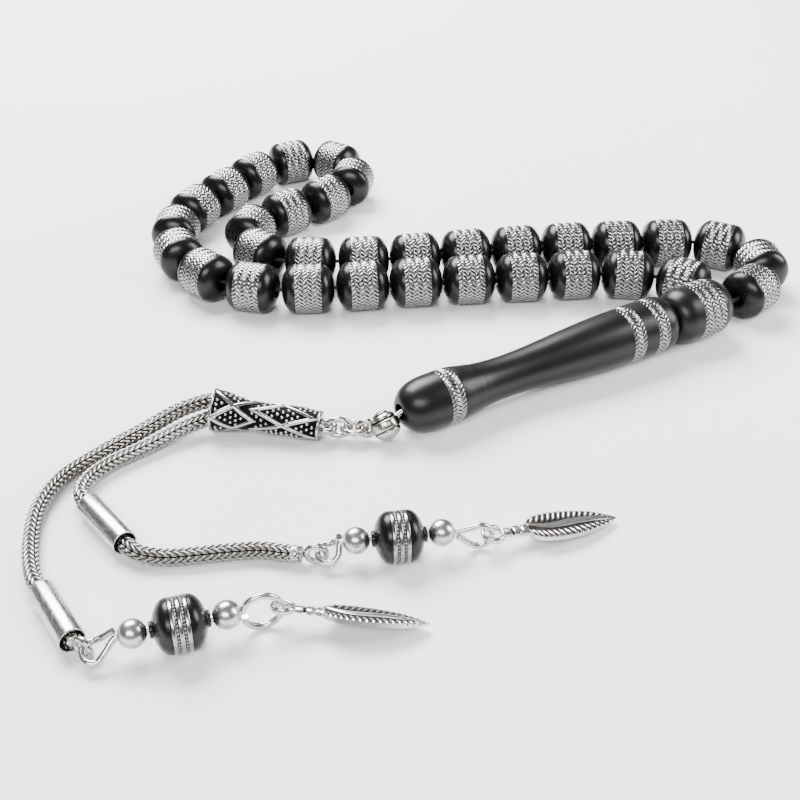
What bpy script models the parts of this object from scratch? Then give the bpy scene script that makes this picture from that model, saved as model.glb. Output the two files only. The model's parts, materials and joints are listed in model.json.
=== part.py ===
"""Misbaha: a loop of 33 banded prayer beads on one cord, with a long leader bead and a silver tassel.

The string lies on a table. +Z is up, the origin is on the table under the middle of the beads and
metalwork, and Blender's unit is the metre. Dimensions below are in millimetres and MM turns them
into metres. Places on the table are measured from LAYOUT_MIDDLE, so that the origin falls there.
"""

import math

import bmesh
import bpy
from mathutils import Matrix, Vector

MM = 0.001

# The middle of the laid-out beads and metalwork, in the layout's own coordinates.
LAYOUT_MIDDLE = Vector((10.59, 20.49, 0.0))

# Prayer beads: a barrel with a cylindrical belt for the silver band and two elliptical domes.
BEAD_COUNT = 33
BEAD_RADIUS = 4.0
BEAD_LENGTH = 8.5
BEAD_TIP_RADIUS = 1.38
BEAD_BORE_RADIUS = 1.22
BELT_WIDTH = 4.3
BEAD_SIDES = 12
SHOULDER_ANGLE = 38.0
BEAD_GAP = 0.3
BEAD_SPREAD = 1.34          # extra cord between two beads for each radian the cord turns
BEAD_SETTLE = 0.46          # how far a bead's middle leaves the chord of its ends for the curve
FIRST_BEAD = Vector((57.2, 31.6, 0.0))
THREADING_STEP = 0.05

# The cord through the beads.
CORD_DIAMETER = 0.68
CORD_STEP = 3.95

# The leader bead (imame) and its head, measured along their axis from the tip.
LEADER_TIP = Vector((0.0, -3.0, 4.0))
LEADER_MOUTH = Vector((51.4, 27.0, 4.56))
LEADER_BORE_RADIUS = 1.25
LEADER_SIDES = 20
LEADER_LENGTH = 48.0
LEADER_PROFILE = [          # distance from the tip, radius
    (0.0, 1.75), (0.5, 2.45), (1.5, 3.25), (3.0, 3.8), (5.0, 4.02), (8.8, 4.0), (11.0, 3.62),
    (14.0, 3.2), (17.5, 3.08), (22.0, 3.25), (28.0, 3.75), (34.0, 4.18), (38.2, 4.33),
    (46.2, 4.33), (LEADER_LENGTH, 2.9),
]
LEADER_BANDS = [(6.3, 8.6), (38.5, 40.7), (43.1, 45.3)]
HEAD_START = LEADER_LENGTH + 0.3
HEAD_PROFILE = [
    (HEAD_START, 2.9), (49.1, 3.9), (50.2, 4.35), (52.0, 4.48), (56.8, 4.48), (57.9, 4.1),
    (58.9, 3.4), (59.5, 2.6),
]
HEAD_BAND = (52.3, 56.6)
MOUTH_RADIUS = 2.0
MOUTH_DEPTH = 2.8
BAND_THICKNESS = 0.35
BAND_CLEARANCE = 0.1

# The tassel's silver ball, links and ornate end tube. Joints are at distances from the ball.
BALL_CENTRE = Vector((-2.05, -4.2, 2.6))
BALL_RADIUS = 2.1
EYE_PROUD = 0.55            # from the ball's surface to the middle of its eye
LINK_WIRE = 0.95
LINK_LENGTH = 3.3           # between the middles of the wire at the two ends
LINK_WIDTH = 2.7
LINK_HEIGHT = 2.0
EYE_RADIUS = 1.15
WIRE_PITCH = 1.1            # between the middles of two wires that pull on each other
TUBE_END = Vector((-11.0, -3.7, 2.15))
TUBE_MOUTH = Vector((-26.4, -1.1, 3.15))
TUBE_PROFILE = [            # distance from the closed end, radius
    (0.0, 2.15), (3.2, 2.25), (6.0, 2.3), (9.5, 2.2), (12.0, 2.5), (15.65, 3.15),
]
TUBE_BORE_RADIUS = 2.7
TUBE_BORE_DEPTH = 3.4
TUBE_SIDES = 12

# The two woven chains, their sliding ferrules and end rings.
CHAIN_DIAMETER = 2.2
CHAIN_STEP = 4.4
FERRULE_LENGTH = 9.7
FERRULE_RADIUS = 1.65
FERRULE_BORE = 1.42
RING_RADIUS = 1.2
WIRE_DIAMETER = 0.8

# The two drops: a wire pin through ball, banded bead and ball, then a feather.
DROP_BEAD_RADIUS = 3.25
DROP_BEAD_HALF = 3.45
DROP_BELT = 1.15
DROP_BALL_RADIUS = 1.7
DROP_BALL_AT = 5.3
DROP_BORE = 0.65
PIN_OUTER = 11.6            # from the banded bead's middle to the outer loop's far wire
PIN_EYE_WIDTH = 1.45        # half the width of the pin's inner eye, between wire middles
PIN_EYE_LEAN = math.radians(12.0)
LOOP_STEPS = 11             # straight pieces in the round part of the pin's outer loop
FEATHER_THICKNESS = 0.9
FEATHER_EYE_RADIUS = 1.6
FEATHER_HOLE_RADIUS = 1.0
FEATHER_OFFSET = 0.15       # from the loop's wire to the middle of the feather's hole

# Routes, chosen as smooth curves on the table. The loop runs out of the leader's head and back.
LOOP_ROUTE = [
    (50.1, 25.5), (51.9, 26.6), (54.2, 28.7), (57.2, 31.4), (60.6, 35.2), (61.5, 40.2),
    (59.2, 45.4), (54.4, 48.8), (47.6, 48.8), (29.4, 47.6), (11.5, 45.0), (-6.4, 42.2),
    (-15.2, 41.8), (-22.0, 42.9), (-26.6, 46.9), (-27.4, 52.6), (-24.9, 57.4), (-20.8, 60.8),
    (-14.5, 66.0), (-9.7, 72.2), (-9.0, 79.1), (-13.3, 84.5), (-20.4, 85.2), (-26.4, 80.6),
    (-33.2, 70.2), (-38.1, 62.2), (-40.2, 53.4), (-38.2, 44.3), (-32.4, 36.9), (-24.6, 32.6),
    (-15.6, 32.2), (2.0, 34.4), (19.9, 36.1), (37.6, 37.3), (45.8, 35.3), (49.9, 32.3),
    (51.9, 30.4), (52.3, 29.0), (50.9, 27.5), (49.3, 26.6),
]
CHAIN_1_ROUTE = [
    (-25.8, -0.2, 4.1), (-26.3, -0.1, 4.15), (-30.5, -1.4, 3.5), (-35.0, -4.2, 2.3),
    (-41.0, -9.0, 1.3), (-45.0, -14.2, 1.2), (-46.5, -20.3, 1.2), (-45.9, -27.0, 1.2),
    (-43.8, -34.0, 1.5), (-42.2, -36.4, 1.65), (-39.5, -40.4, 1.65), (-36.7, -44.5, 1.65),
]
CHAIN_2_ROUTE = [
    (-26.2, -1.8, 2.4), (-26.6, -1.9, 2.3), (-30.5, -4.0, 1.8), (-34.6, -7.2, 1.3),
    (-39.2, -11.2, 1.2), (-41.4, -14.8, 1.3), (-41.6, -17.9, 1.55), (-40.7, -19.7, 1.65),
    (-37.1, -24.1, 1.65), (-33.4, -28.6, 1.65), (-31.8, -29.7, 1.5), (-29.0, -30.0, 1.2),
    (-25.0, -29.6, 1.2), (-21.0, -29.0, 1.2), (-17.0, -28.7, 1.2), (-14.6, -29.2, 1.3), (-12.1, -29.8, 1.55),
]
FERRULE_1_ENDS = (Vector((-42.2, -36.4, 1.65)), Vector((-36.8, -44.4, 1.65)))
FERRULE_2_ENDS = (Vector((-40.1, -20.4, 1.65)), Vector((-34.0, -27.9, 1.65)))

# The middle of each drop's banded bead, the way its pin points and the way its feather points,
# falls towards its tip and rolls, in degrees. Then the distance to the chain's end ring, and the
# outer loop's radius, the height of its middle and half of the angle that its wire covers.
DROP_1 = {
    "middle": Vector((-24.7, -43.4, 3.25)), "pin": 16.0, "feather": -3.0, "fall": 6.2,
    "roll": -25.0, "reach": 10.0, "loop": 2.3, "loop_height": 2.75, "opening": 150.0,
}
DROP_2 = {
    "middle": Vector((-0.1, -28.5, 3.25)), "pin": 8.0, "feather": 17.0, "fall": 5.0,
    "roll": 0.0, "reach": 9.0, "loop": 1.6, "loop_height": 2.2, "opening": 120.0,
}

ROUND_ANGLE = math.radians(40.0)


# ---------------------------------------------------------------- scene and materials

def clear_scene():
    """Remove every object the file starts with."""
    for item in list(bpy.data.objects):
        bpy.data.objects.remove(item, do_unlink=True)


def new_collection(name):
    """A collection linked to the scene."""
    collection = bpy.data.collections.new(name)
    bpy.context.scene.collection.children.link(collection)
    return collection


def principled(name, colour, roughness, metallic):
    """A Principled material with one colour."""
    material = bpy.data.materials.new(name)
    material.use_nodes = True
    shader = material.node_tree.nodes["Principled BSDF"]
    shader.inputs["Base Color"].default_value = (*colour, 1.0)
    shader.inputs["Roughness"].default_value = roughness
    shader.inputs["Metallic"].default_value = metallic
    material.diffuse_color = (*colour, 1.0)
    return material


# ---------------------------------------------------------------- places and directions

def place(point):
    """A layout point in millimetres as a point of the model in metres."""
    spot = Vector(point).to_3d() - LAYOUT_MIDDLE
    return spot * MM


def heading(degrees):
    """The level direction that points this many degrees from +X towards +Y."""
    angle = math.radians(degrees)
    return Vector((math.cos(angle), math.sin(angle), 0.0))


def lying_matrix(point, direction):
    """Local +Z along the direction and local +X downwards, at a layout point."""
    axis = direction.normalized()
    down = Vector((0.0, 0.0, -1.0))
    side = (down - axis * down.dot(axis)).normalized()
    across = axis.cross(side)
    turn = Matrix((side, across, axis)).transposed().to_4x4()
    return Matrix.Translation(place(point)) @ turn


def level_matrix(point, direction):
    """Local +X along the direction and local +Z up, at a layout point."""
    along = direction.normalized()
    side = Vector((0.0, 0.0, 1.0)).cross(along).normalized()
    up = along.cross(side)
    turn = Matrix((along, side, up)).transposed().to_4x4()
    return Matrix.Translation(place(point)) @ turn


def smooth_curve(points, parts=24):
    """Dense points on a centripetal Catmull-Rom curve through the given points."""
    knots = [Vector(point).to_3d() for point in points]
    knots = [2 * knots[0] - knots[1]] + knots + [2 * knots[-1] - knots[-2]]
    dense = []
    for before, start, end, after in zip(knots, knots[1:], knots[2:], knots[3:]):
        first = math.sqrt((start - before).length)
        middle = math.sqrt((end - start).length)
        last = math.sqrt((after - end).length)
        leave = ((start - before) / first - (end - before) / (first + middle)
                 + (end - start) / middle) * middle
        arrive = ((end - start) / middle - (after - start) / (middle + last)
                  + (after - end) / last) * middle
        for step in range(parts):
            t = step / parts
            dense.append(start * (2 * t**3 - 3 * t**2 + 1) + leave * (t**3 - 2 * t**2 + t)
                         + end * (3 * t**2 - 2 * t**3) + arrive * (t**3 - t**2))
    dense.append(knots[-2])
    return dense


def even_steps(dense, step):
    """The same curve with a point every step millimetres, both ends kept."""
    lengths = [0.0]
    for start, end in zip(dense, dense[1:]):
        lengths.append(lengths[-1] + (end - start).length)
    count = max(2, round(lengths[-1] / step))
    evened = []
    index = 0
    for number in range(count + 1):
        target = lengths[-1] * number / count
        while index < len(lengths) - 2 and lengths[index + 1] < target:
            index += 1
        share = (target - lengths[index]) / (lengths[index + 1] - lengths[index])
        evened.append(dense[index].lerp(dense[index + 1], share))
    return evened


# ---------------------------------------------------------------- making solids

def settle(item):
    """Turn an object's modifiers or curve into a plain closed mesh, shaded smooth."""
    bpy.context.view_layer.update()
    evaluated = item.evaluated_get(bpy.context.evaluated_depsgraph_get())
    mesh = bpy.data.meshes.new_from_object(evaluated)
    tidy = bmesh.new()
    tidy.from_mesh(mesh)
    bmesh.ops.remove_doubles(tidy, verts=tidy.verts, dist=0.00001)
    tidy.to_mesh(mesh)
    tidy.free()
    mesh.shade_smooth()
    mesh.set_sharp_from_angle(angle=ROUND_ANGLE)
    solid = bpy.data.objects.new(item.name + "_solid", mesh)
    solid.matrix_world = item.matrix_world.copy()
    name = item.name
    bpy.data.objects.remove(item, do_unlink=True)
    solid.name = name
    solid.data.name = name
    return solid


def finish(item, material, collection, pivot):
    """Give a solid its material and its place in the tree of moving pieces."""
    item.data.materials.clear()
    item.data.materials.append(material)
    collection.objects.link(item)
    if pivot is not None:
        item.parent = pivot
        item.matrix_parent_inverse = pivot.matrix_world.inverted()
    return item


def turned(name, profile, matrix, sides, bored=True):
    """Turn a profile of (radius, height) millimetres round local Z.

    The profile runs down the outer side from top to bottom. A bored profile closes on itself up
    the inside of the bore, and any other starts and ends on the axis.
    """
    mesh = bpy.data.meshes.new(name)
    corners = [(radius * MM, 0.0, height * MM) for radius, height in profile]
    edges = [(index, index + 1) for index in range(len(corners) - 1)]
    if bored:
        edges.append((len(corners) - 1, 0))
    mesh.from_pydata(corners, edges, [])
    item = bpy.data.objects.new(name, mesh)
    item.matrix_world = matrix
    bpy.context.scene.collection.objects.link(item)
    screw = item.modifiers.new("Turn", "SCREW")
    screw.steps = sides
    screw.render_steps = sides
    screw.use_merge_vertices = True
    screw.merge_threshold = 0.00001
    return settle(item)


def wire(name, points, diameter, closed=False):
    """A round wire through layout points, capped at its ends unless it is closed."""
    curve = bpy.data.curves.new(name, "CURVE")
    curve.dimensions = "3D"
    curve.bevel_depth = diameter / 2 * MM
    curve.bevel_resolution = 2
    curve.use_fill_caps = not closed
    spline = curve.splines.new("POLY")
    spline.points.add(len(points) - 1)
    for control, point in zip(spline.points, points):
        control.co = (*place(point), 1.0)
    spline.use_cyclic_u = closed
    item = bpy.data.objects.new(name, curve)
    bpy.context.scene.collection.objects.link(item)
    return settle(item)


def join(body, piece):
    """Fuse a second solid into the first with a Boolean union."""
    for item in (body, piece):
        bpy.context.scene.collection.objects.link(item)
    union = body.modifiers.new("Join", "BOOLEAN")
    union.operation = "UNION"
    union.solver = "EXACT"
    union.object = piece
    joined = settle(body)
    bpy.data.objects.remove(piece, do_unlink=True)
    return joined


def set_origin(item, point):
    """Move an object's origin to a layout point and leave its surface where it is."""
    move = Matrix.Translation(place(point))
    item.data.transform(move.inverted() @ item.matrix_world)
    item.matrix_world = move
    return item


def oval(middle, along, across, length, width, parts=20):
    """Points round an oval of the given length and width between wire middles."""
    points = []
    for step in range(parts):
        angle = 2 * math.pi * step / parts
        points.append(middle + along * (length / 2 * math.cos(angle))
                      + across * (width / 2 * math.sin(angle)))
    return points


def new_pivot(name, point, parent=None):
    """An empty at a joint, under the joint that carries it."""
    pivot = bpy.data.objects.new(name, None)
    pivot.empty_display_size = 0.004
    bpy.context.scene.collection.objects.link(pivot)
    pivot.matrix_world = Matrix.Translation(place(point))
    bpy.context.view_layer.update()
    if parent is not None:
        pivot.parent = parent
        pivot.matrix_parent_inverse = parent.matrix_world.inverted()
        bpy.context.view_layer.update()
    return pivot


# ---------------------------------------------------------------- the loop of beads

def bead_places():
    """Middle and direction of each bead, threaded one after another along the loop's route."""
    fine = even_steps(smooth_curve(LOOP_ROUTE), THREADING_STEP)
    step = sum((b - a).length for a, b in zip(fine, fine[1:])) / (len(fine) - 1)
    half = round(BEAD_LENGTH / 2 / step)

    def direction(index):
        return (fine[index + half] - fine[index - half]).normalized()

    def middle(index):
        chord = (fine[index + half] + fine[index - half]) / 2
        return chord.lerp(fine[index], BEAD_SETTLE)

    index = min(range(half, len(fine) // 4), key=lambda number: (fine[number] - FIRST_BEAD).length)
    places = []
    for _ in range(BEAD_COUNT):
        places.append((middle(index) + Vector((0.0, 0.0, BEAD_RADIUS)), direction(index)))
        travel = 0.0
        ahead = index
        while travel < BEAD_LENGTH + BEAD_GAP and ahead < len(fine) - half - 2:
            ahead += 1
            turn = direction(index).angle(direction(ahead))
            travel = (ahead - index) * step - BEAD_SPREAD * turn
        index = ahead
    return places


def bead_profile():
    """A bead's outline: belt, two domes of one facet more, and the bore."""
    belt = BELT_WIDTH / 2
    reach = (BEAD_LENGTH / 2 - belt) / math.sqrt(1 - (BEAD_TIP_RADIUS / BEAD_RADIUS) ** 2)
    slope = math.radians(SHOULDER_ANGLE)
    shoulder = (BEAD_RADIUS * math.cos(slope) - 0.1, belt + reach * math.sin(slope) - 0.05)
    upper = [(BEAD_TIP_RADIUS, BEAD_LENGTH / 2), shoulder, (BEAD_RADIUS, belt)]
    lower = [(radius, -height) for radius, height in reversed(upper)]
    bore = [(BEAD_BORE_RADIUS, -BEAD_LENGTH / 2), (BEAD_BORE_RADIUS, BEAD_LENGTH / 2)]
    return upper + lower + bore


def make_beads(materials, collection, root):
    """The 33 beads of the loop, each free to turn on the cord."""
    profile = bead_profile()
    for number, (middle, direction) in enumerate(bead_places(), start=1):
        bead = turned(f"bead_{number:02d}", profile, lying_matrix(middle, direction), BEAD_SIDES)
        finish(bead, materials["black"], collection, root)


def make_cord(materials, collection, root):
    """The one cord that carries the beads, with both ends in the leader's head."""
    route = [Vector((x, y, BEAD_RADIUS)) for x, y in LOOP_ROUTE]
    cord = wire("loop_cord", even_steps(smooth_curve(route), CORD_STEP), CORD_DIAMETER)
    finish(cord, materials["cord"], collection, root)


# ---------------------------------------------------------------- the leader

def leader_direction():
    """The leader's axis, from its tip to its mouth."""
    return (LEADER_MOUTH - LEADER_TIP).normalized()


def radius_at(profile, distance):
    """Radius of a (distance, radius) profile at a distance along it."""
    for (start, before), (end, after) in zip(profile, profile[1:]):
        if start <= distance <= end:
            return before + (after - before) * (distance - start) / (end - start)
    return profile[-1][1]


def banded_outline(profile, bands):
    """A (distance, radius) profile with a shallow seat cut in it for each band."""
    depth = BAND_THICKNESS + BAND_CLEARANCE
    outline = []
    for distance, radius in profile:
        if not any(start - 0.05 <= distance <= end + 0.05 for start, end in bands):
            outline.append((distance, radius))
    for start, end in bands:
        low = start - BAND_CLEARANCE
        high = end + BAND_CLEARANCE
        outline.append((low, radius_at(profile, low)))
        outline.append((low + 0.001, radius_at(profile, low) - depth))
        outline.append((high - 0.001, radius_at(profile, high) - depth))
        outline.append((high, radius_at(profile, high)))
    return sorted(outline)


def make_band(name, profile, ends):
    """One silver band let into the leader, flush with its surface."""
    start, end = ends
    outer = [(radius_at(profile, end), end), (radius_at(profile, start), start)]
    inner = [(radius - BAND_THICKNESS, distance) for radius, distance in reversed(outer)]
    return turned(name, outer + inner, lying_matrix(LEADER_TIP, leader_direction()), LEADER_SIDES)


def make_leader(materials, collection, pivot):
    """The leader's body and its three bands."""
    outline = banded_outline(LEADER_PROFILE, LEADER_BANDS)
    outer = [(radius, distance) for distance, radius in reversed(outline)]
    bore = [(LEADER_BORE_RADIUS, 0.0), (LEADER_BORE_RADIUS, LEADER_LENGTH)]
    matrix = lying_matrix(LEADER_TIP, leader_direction())
    body = turned("leader_body", outer + bore, matrix, LEADER_SIDES)
    finish(body, materials["black"], collection, pivot)
    names = ("leader_band_lower", "leader_band_middle", "leader_band_upper")
    for name, ends in zip(names, LEADER_BANDS):
        finish(make_band(name, LEADER_PROFILE, ends), materials["silver"], collection, pivot)


def make_head(materials, collection, pivot):
    """The leader's separate head and its wide band. Both turn on the leader's axis."""
    outline = banded_outline(HEAD_PROFILE, [HEAD_BAND])
    outer = [(radius, distance) for distance, radius in reversed(outline)]
    end = HEAD_PROFILE[-1][0]
    floor = end - MOUTH_DEPTH
    bore = [
        (LEADER_BORE_RADIUS, HEAD_START), (LEADER_BORE_RADIUS, floor),
        (MOUTH_RADIUS, floor), (MOUTH_RADIUS, end),
    ]
    matrix = lying_matrix(LEADER_TIP, leader_direction())
    head = turned("leader_head", outer + bore, matrix, LEADER_SIDES)
    finish(head, materials["black"], collection, pivot)
    band = make_band("leader_band_head", HEAD_PROFILE, HEAD_BAND)
    finish(band, materials["silver"], collection, pivot)


# ---------------------------------------------------------------- ball, links and end tube

def tassel_direction():
    """The level direction in which the links run, away from the ball."""
    run = TUBE_END - BALL_CENTRE
    return Vector((run.x, run.y, 0.0)).normalized()


def link_point(distance):
    """A point on the links' line, this far from the ball's middle."""
    spot = BALL_CENTRE + tassel_direction() * distance
    spot.z = LINK_HEIGHT
    return spot


def link_places():
    """Distances from the ball's middle to the wires of its eye, the links and the tube's eye."""
    ball_eye = BALL_RADIUS + EYE_PROUD
    first_joint = ball_eye + EYE_RADIUS
    link_1 = first_joint - WIRE_PITCH + LINK_LENGTH / 2
    second_joint = link_1 + LINK_LENGTH / 2 - WIRE_PITCH
    link_2 = second_joint + LINK_LENGTH / 2
    third_joint = link_2 + LINK_LENGTH / 2
    tube_eye = third_joint - WIRE_PITCH + EYE_RADIUS
    return {
        "ball_eye": ball_eye, "first_joint": first_joint, "link_1": link_1,
        "second_joint": second_joint, "link_2": link_2, "third_joint": third_joint,
        "tube_eye": tube_eye,
    }


def make_ball(materials, collection, pivot):
    """The silver ball under the leader: its shank goes up into the tip and its eye holds a link."""
    bpy.ops.mesh.primitive_uv_sphere_add(
        segments=14, ring_count=9, radius=BALL_RADIUS * MM, location=place(BALL_CENTRE))
    ball = bpy.context.object
    ball.name = "tassel_ball"
    ball = settle(ball)
    tip_inside = LEADER_TIP + leader_direction() * 0.5
    shank = wire("shank", [BALL_CENTRE, tip_inside], LINK_WIRE)
    upright = Vector((0.0, 0.0, 1.0))
    middle = link_point(link_places()["ball_eye"])
    eye = wire("eye", oval(middle, tassel_direction(), upright, 2 * EYE_RADIUS, 2 * EYE_RADIUS, 16),
               LINK_WIRE, closed=True)
    ball = join(join(ball, shank), eye)
    finish(set_origin(ball, LEADER_TIP), materials["silver"], collection, pivot)


def make_links(materials, collection, pivots):
    """Two oval links: the first lies flat and the second stands on edge."""
    along = tassel_direction()
    flat = Vector((0.0, 0.0, 1.0)).cross(along)
    upright = Vector((0.0, 0.0, 1.0))
    for name, across in (("link_1", flat), ("link_2", upright)):
        middle = link_point(link_places()[name])
        link = wire(name, oval(middle, along, across, LINK_LENGTH, LINK_WIDTH), LINK_WIRE,
                    closed=True)
        finish(link, materials["silver"], collection, pivots[name])


def make_tube(materials, collection, pivot):
    """The ornate end tube: a flared mouth for the two chains and an eye on its closed end."""
    length = TUBE_PROFILE[-1][0]
    floor = length - TUBE_BORE_DEPTH
    outer = [(radius, distance) for distance, radius in reversed(TUBE_PROFILE)]
    bore = [(0.0, floor), (TUBE_BORE_RADIUS - 0.7, floor),
            (TUBE_BORE_RADIUS, length - 1.6), (TUBE_BORE_RADIUS, length)]
    direction = TUBE_MOUTH - TUBE_END
    tube = turned("end_tube", bore + outer + [(0.0, 0.0)], lying_matrix(TUBE_END, direction),
                  TUBE_SIDES, bored=False)
    flat = Vector((0.0, 0.0, 1.0)).cross(tassel_direction())
    middle = link_point(link_places()["tube_eye"])
    eye = wire("eye", oval(middle, tassel_direction(), flat, 2 * EYE_RADIUS, 2 * EYE_RADIUS, 16),
               LINK_WIRE, closed=True)
    tube = join(tube, eye)
    finish(tube, materials["silver"], collection, pivot)


# ---------------------------------------------------------------- chains, ferrules and rings

def make_chain(name, route, materials, collection, pivot):
    """One woven chain as a plain round tube of its outer size."""
    chain = wire(name, even_steps(smooth_curve(route), CHAIN_STEP), CHAIN_DIAMETER)
    finish(set_origin(chain, route[1]), materials["chain"], collection, pivot)


def make_ferrule(name, ends, materials, collection, pivot):
    """A plain tube that slides on a chain."""
    start, end = ends
    half = FERRULE_LENGTH / 2
    profile = [
        (FERRULE_RADIUS, half), (FERRULE_RADIUS, -half), (FERRULE_BORE, -half), (FERRULE_BORE, half),
    ]
    matrix = lying_matrix((start + end) / 2, end - start)
    finish(turned(name, profile, matrix, 14), materials["silver"], collection, pivot)


def ring_joint(drop):
    """Where a drop's pin hangs on its chain's end ring."""
    spot = drop["middle"] - heading(drop["pin"]) * drop["reach"]
    spot.z = RING_RADIUS + WIRE_DIAMETER / 2
    return spot


def make_ring(name, drop, chain_end, materials, collection, pivot):
    """The upright ring soldered to a chain's end."""
    joint = ring_joint(drop)
    along = Vector((joint.x - chain_end[0], joint.y - chain_end[1], 0.0)).normalized()
    middle = joint - along * RING_RADIUS
    upright = Vector((0.0, 0.0, 1.0))
    ring = wire(name, oval(middle, along, upright, 2 * RING_RADIUS, 2 * RING_RADIUS, 16),
                WIRE_DIAMETER, closed=True)
    finish(ring, materials["silver"], collection, pivot)


# ---------------------------------------------------------------- drops

def pin_points(drop):
    """The pin's wire: a leaning eye round the ring, a straight shank, and an upright outer loop."""
    along = heading(drop["pin"])
    side = Vector((-along.y, along.x, 0.0))
    middle = drop["middle"]
    low = ring_joint(drop).z - middle.z
    reach = drop["reach"]

    def spot(distance, sideways, rise):
        lean = Vector((0.0, 0.0, rise + sideways * math.sin(PIN_EYE_LEAN)))
        return middle + along * distance + side * (sideways * math.cos(PIN_EYE_LEAN)) + lean

    eye = [spot(-7.3, 0.85, 0.0), spot(1.4 - reach, 1.2, low * 0.65),
           spot(0.5 - reach, PIN_EYE_WIDTH, low)]
    for degrees in range(20, 161, 28):
        angle = math.radians(degrees)
        eye.append(spot(0.1 - reach - 1.15 * math.sin(angle), PIN_EYE_WIDTH * math.cos(angle), low))
    eye += [spot(0.5 - reach, -PIN_EYE_WIDTH, low), spot(1.4 - reach, -1.0, low * 0.65),
            spot(-7.3, -0.1, low * 0.1), spot(-6.6, 0.0, 0.0)]
    radius = drop["loop"]
    centre = PIN_OUTER - radius
    drop_height = drop["loop_height"] - middle.z
    loop = [spot(6.9, 0.0, 0.0)]
    for step in range(LOOP_STEPS + 1):
        angle = math.radians(drop["opening"] * (1 - 2 * step / LOOP_STEPS))
        loop.append(spot(centre + radius * math.cos(angle), 0.0,
                         drop_height + radius * math.sin(angle)))
    loop.append(spot(7.35, 0.0, -0.85))
    return eye + loop


def loop_joint(drop):
    """Where a drop's feather hangs on the pin's outer loop."""
    spot = drop["middle"] + heading(drop["pin"]) * PIN_OUTER
    spot.z = drop["loop_height"]
    return spot


def drop_bead_profile():
    """A tassel bead's outline: belt, domes, small collars and bore."""
    upper = [
        (1.05, DROP_BEAD_HALF), (1.2, 3.0), (1.75, 2.85), (2.65, 2.15), (DROP_BEAD_RADIUS, DROP_BELT),
    ]
    lower = [(radius, -height) for radius, height in reversed(upper)]
    return upper + lower + [(DROP_BORE, -DROP_BEAD_HALF), (DROP_BORE, DROP_BEAD_HALF)]


def small_ball_profile():
    """A small bored ball's outline."""
    upper = []
    for degrees in (66, 38, 10):
        angle = math.radians(degrees)
        upper.append((DROP_BALL_RADIUS * math.cos(angle), DROP_BALL_RADIUS * math.sin(angle)))
    lower = [(radius, -height) for radius, height in reversed(upper)]
    end = upper[0][1]
    return [(DROP_BORE, end)] + upper + lower + [(DROP_BORE, -end)]


def feather_outline():
    """Corners of one long side of a feather, from its eye to its point: (along, half width)."""
    eye = []
    for degrees in (180, 150, 120, 90, 60, 36):
        angle = math.radians(degrees)
        eye.append((FEATHER_EYE_RADIUS * math.cos(angle), FEATHER_EYE_RADIUS * math.sin(angle)))
    stem = [(2.0, 0.75), (4.6, 0.8), (5.0, 1.3)]
    blade = [(6.2, 2.15), (8.4, 2.4), (11.0, 2.3), (13.6, 1.75), (15.6, 0.95), (17.0, 0.0)]
    return eye + stem + blade


def make_feather(name, drop, materials, collection, pivot):
    """A flat feather with a round eye, hung on the pin's outer loop and lying tip down."""
    half = feather_outline()
    outline = half + [(along, -width) for along, width in reversed(half[1:-1])]
    hole = []
    for step in range(12):
        angle = 2 * math.pi * step / 12
        hole.append((FEATHER_HOLE_RADIUS * math.cos(angle), FEATHER_HOLE_RADIUS * math.sin(angle)))
    curve = bpy.data.curves.new(name, "CURVE")
    curve.dimensions = "2D"
    curve.fill_mode = "BOTH"
    curve.extrude = FEATHER_THICKNESS / 2 * MM
    for corners in (outline, hole):
        spline = curve.splines.new("POLY")
        spline.points.add(len(corners) - 1)
        for control, (along, width) in zip(spline.points, corners):
            control.co = ((along + FEATHER_OFFSET) * MM, width * MM, 0.0, 1.0)
        spline.use_cyclic_u = True
    item = bpy.data.objects.new(name, curve)
    fall = Matrix.Rotation(math.radians(drop["fall"]), 4, "Y")
    roll = Matrix.Rotation(math.radians(drop["roll"]), 4, "X")
    item.matrix_world = level_matrix(loop_joint(drop), heading(drop["feather"])) @ fall @ roll
    bpy.context.scene.collection.objects.link(item)
    finish(settle(item), materials["silver"], collection, pivot)


def make_drop(number, drop, materials, collection, pivots):
    """Pin, two silver balls, banded bead and feather of one drop."""
    pin = wire(f"pin_{number}", pin_points(drop), WIRE_DIAMETER)
    pin_pivot = pivots[f"pin_{number}"]
    finish(set_origin(pin, ring_joint(drop)), materials["silver"], collection, pin_pivot)
    along = heading(drop["pin"])
    bead = turned(f"drop_bead_{number}", drop_bead_profile(),
                  lying_matrix(drop["middle"], along), 16)
    finish(bead, materials["black"], collection, pin_pivot)
    for side, sign in (("inner", -1), ("outer", 1)):
        middle = drop["middle"] + along * (sign * DROP_BALL_AT)
        ball = turned(f"drop_ball_{number}_{side}", small_ball_profile(),
                      lying_matrix(middle, along), 12)
        finish(ball, materials["silver"], collection, pin_pivot)
    make_feather(f"feather_{number}", drop, materials, collection, pivots[f"feather_{number}"])


# ---------------------------------------------------------------- assembly

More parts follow.
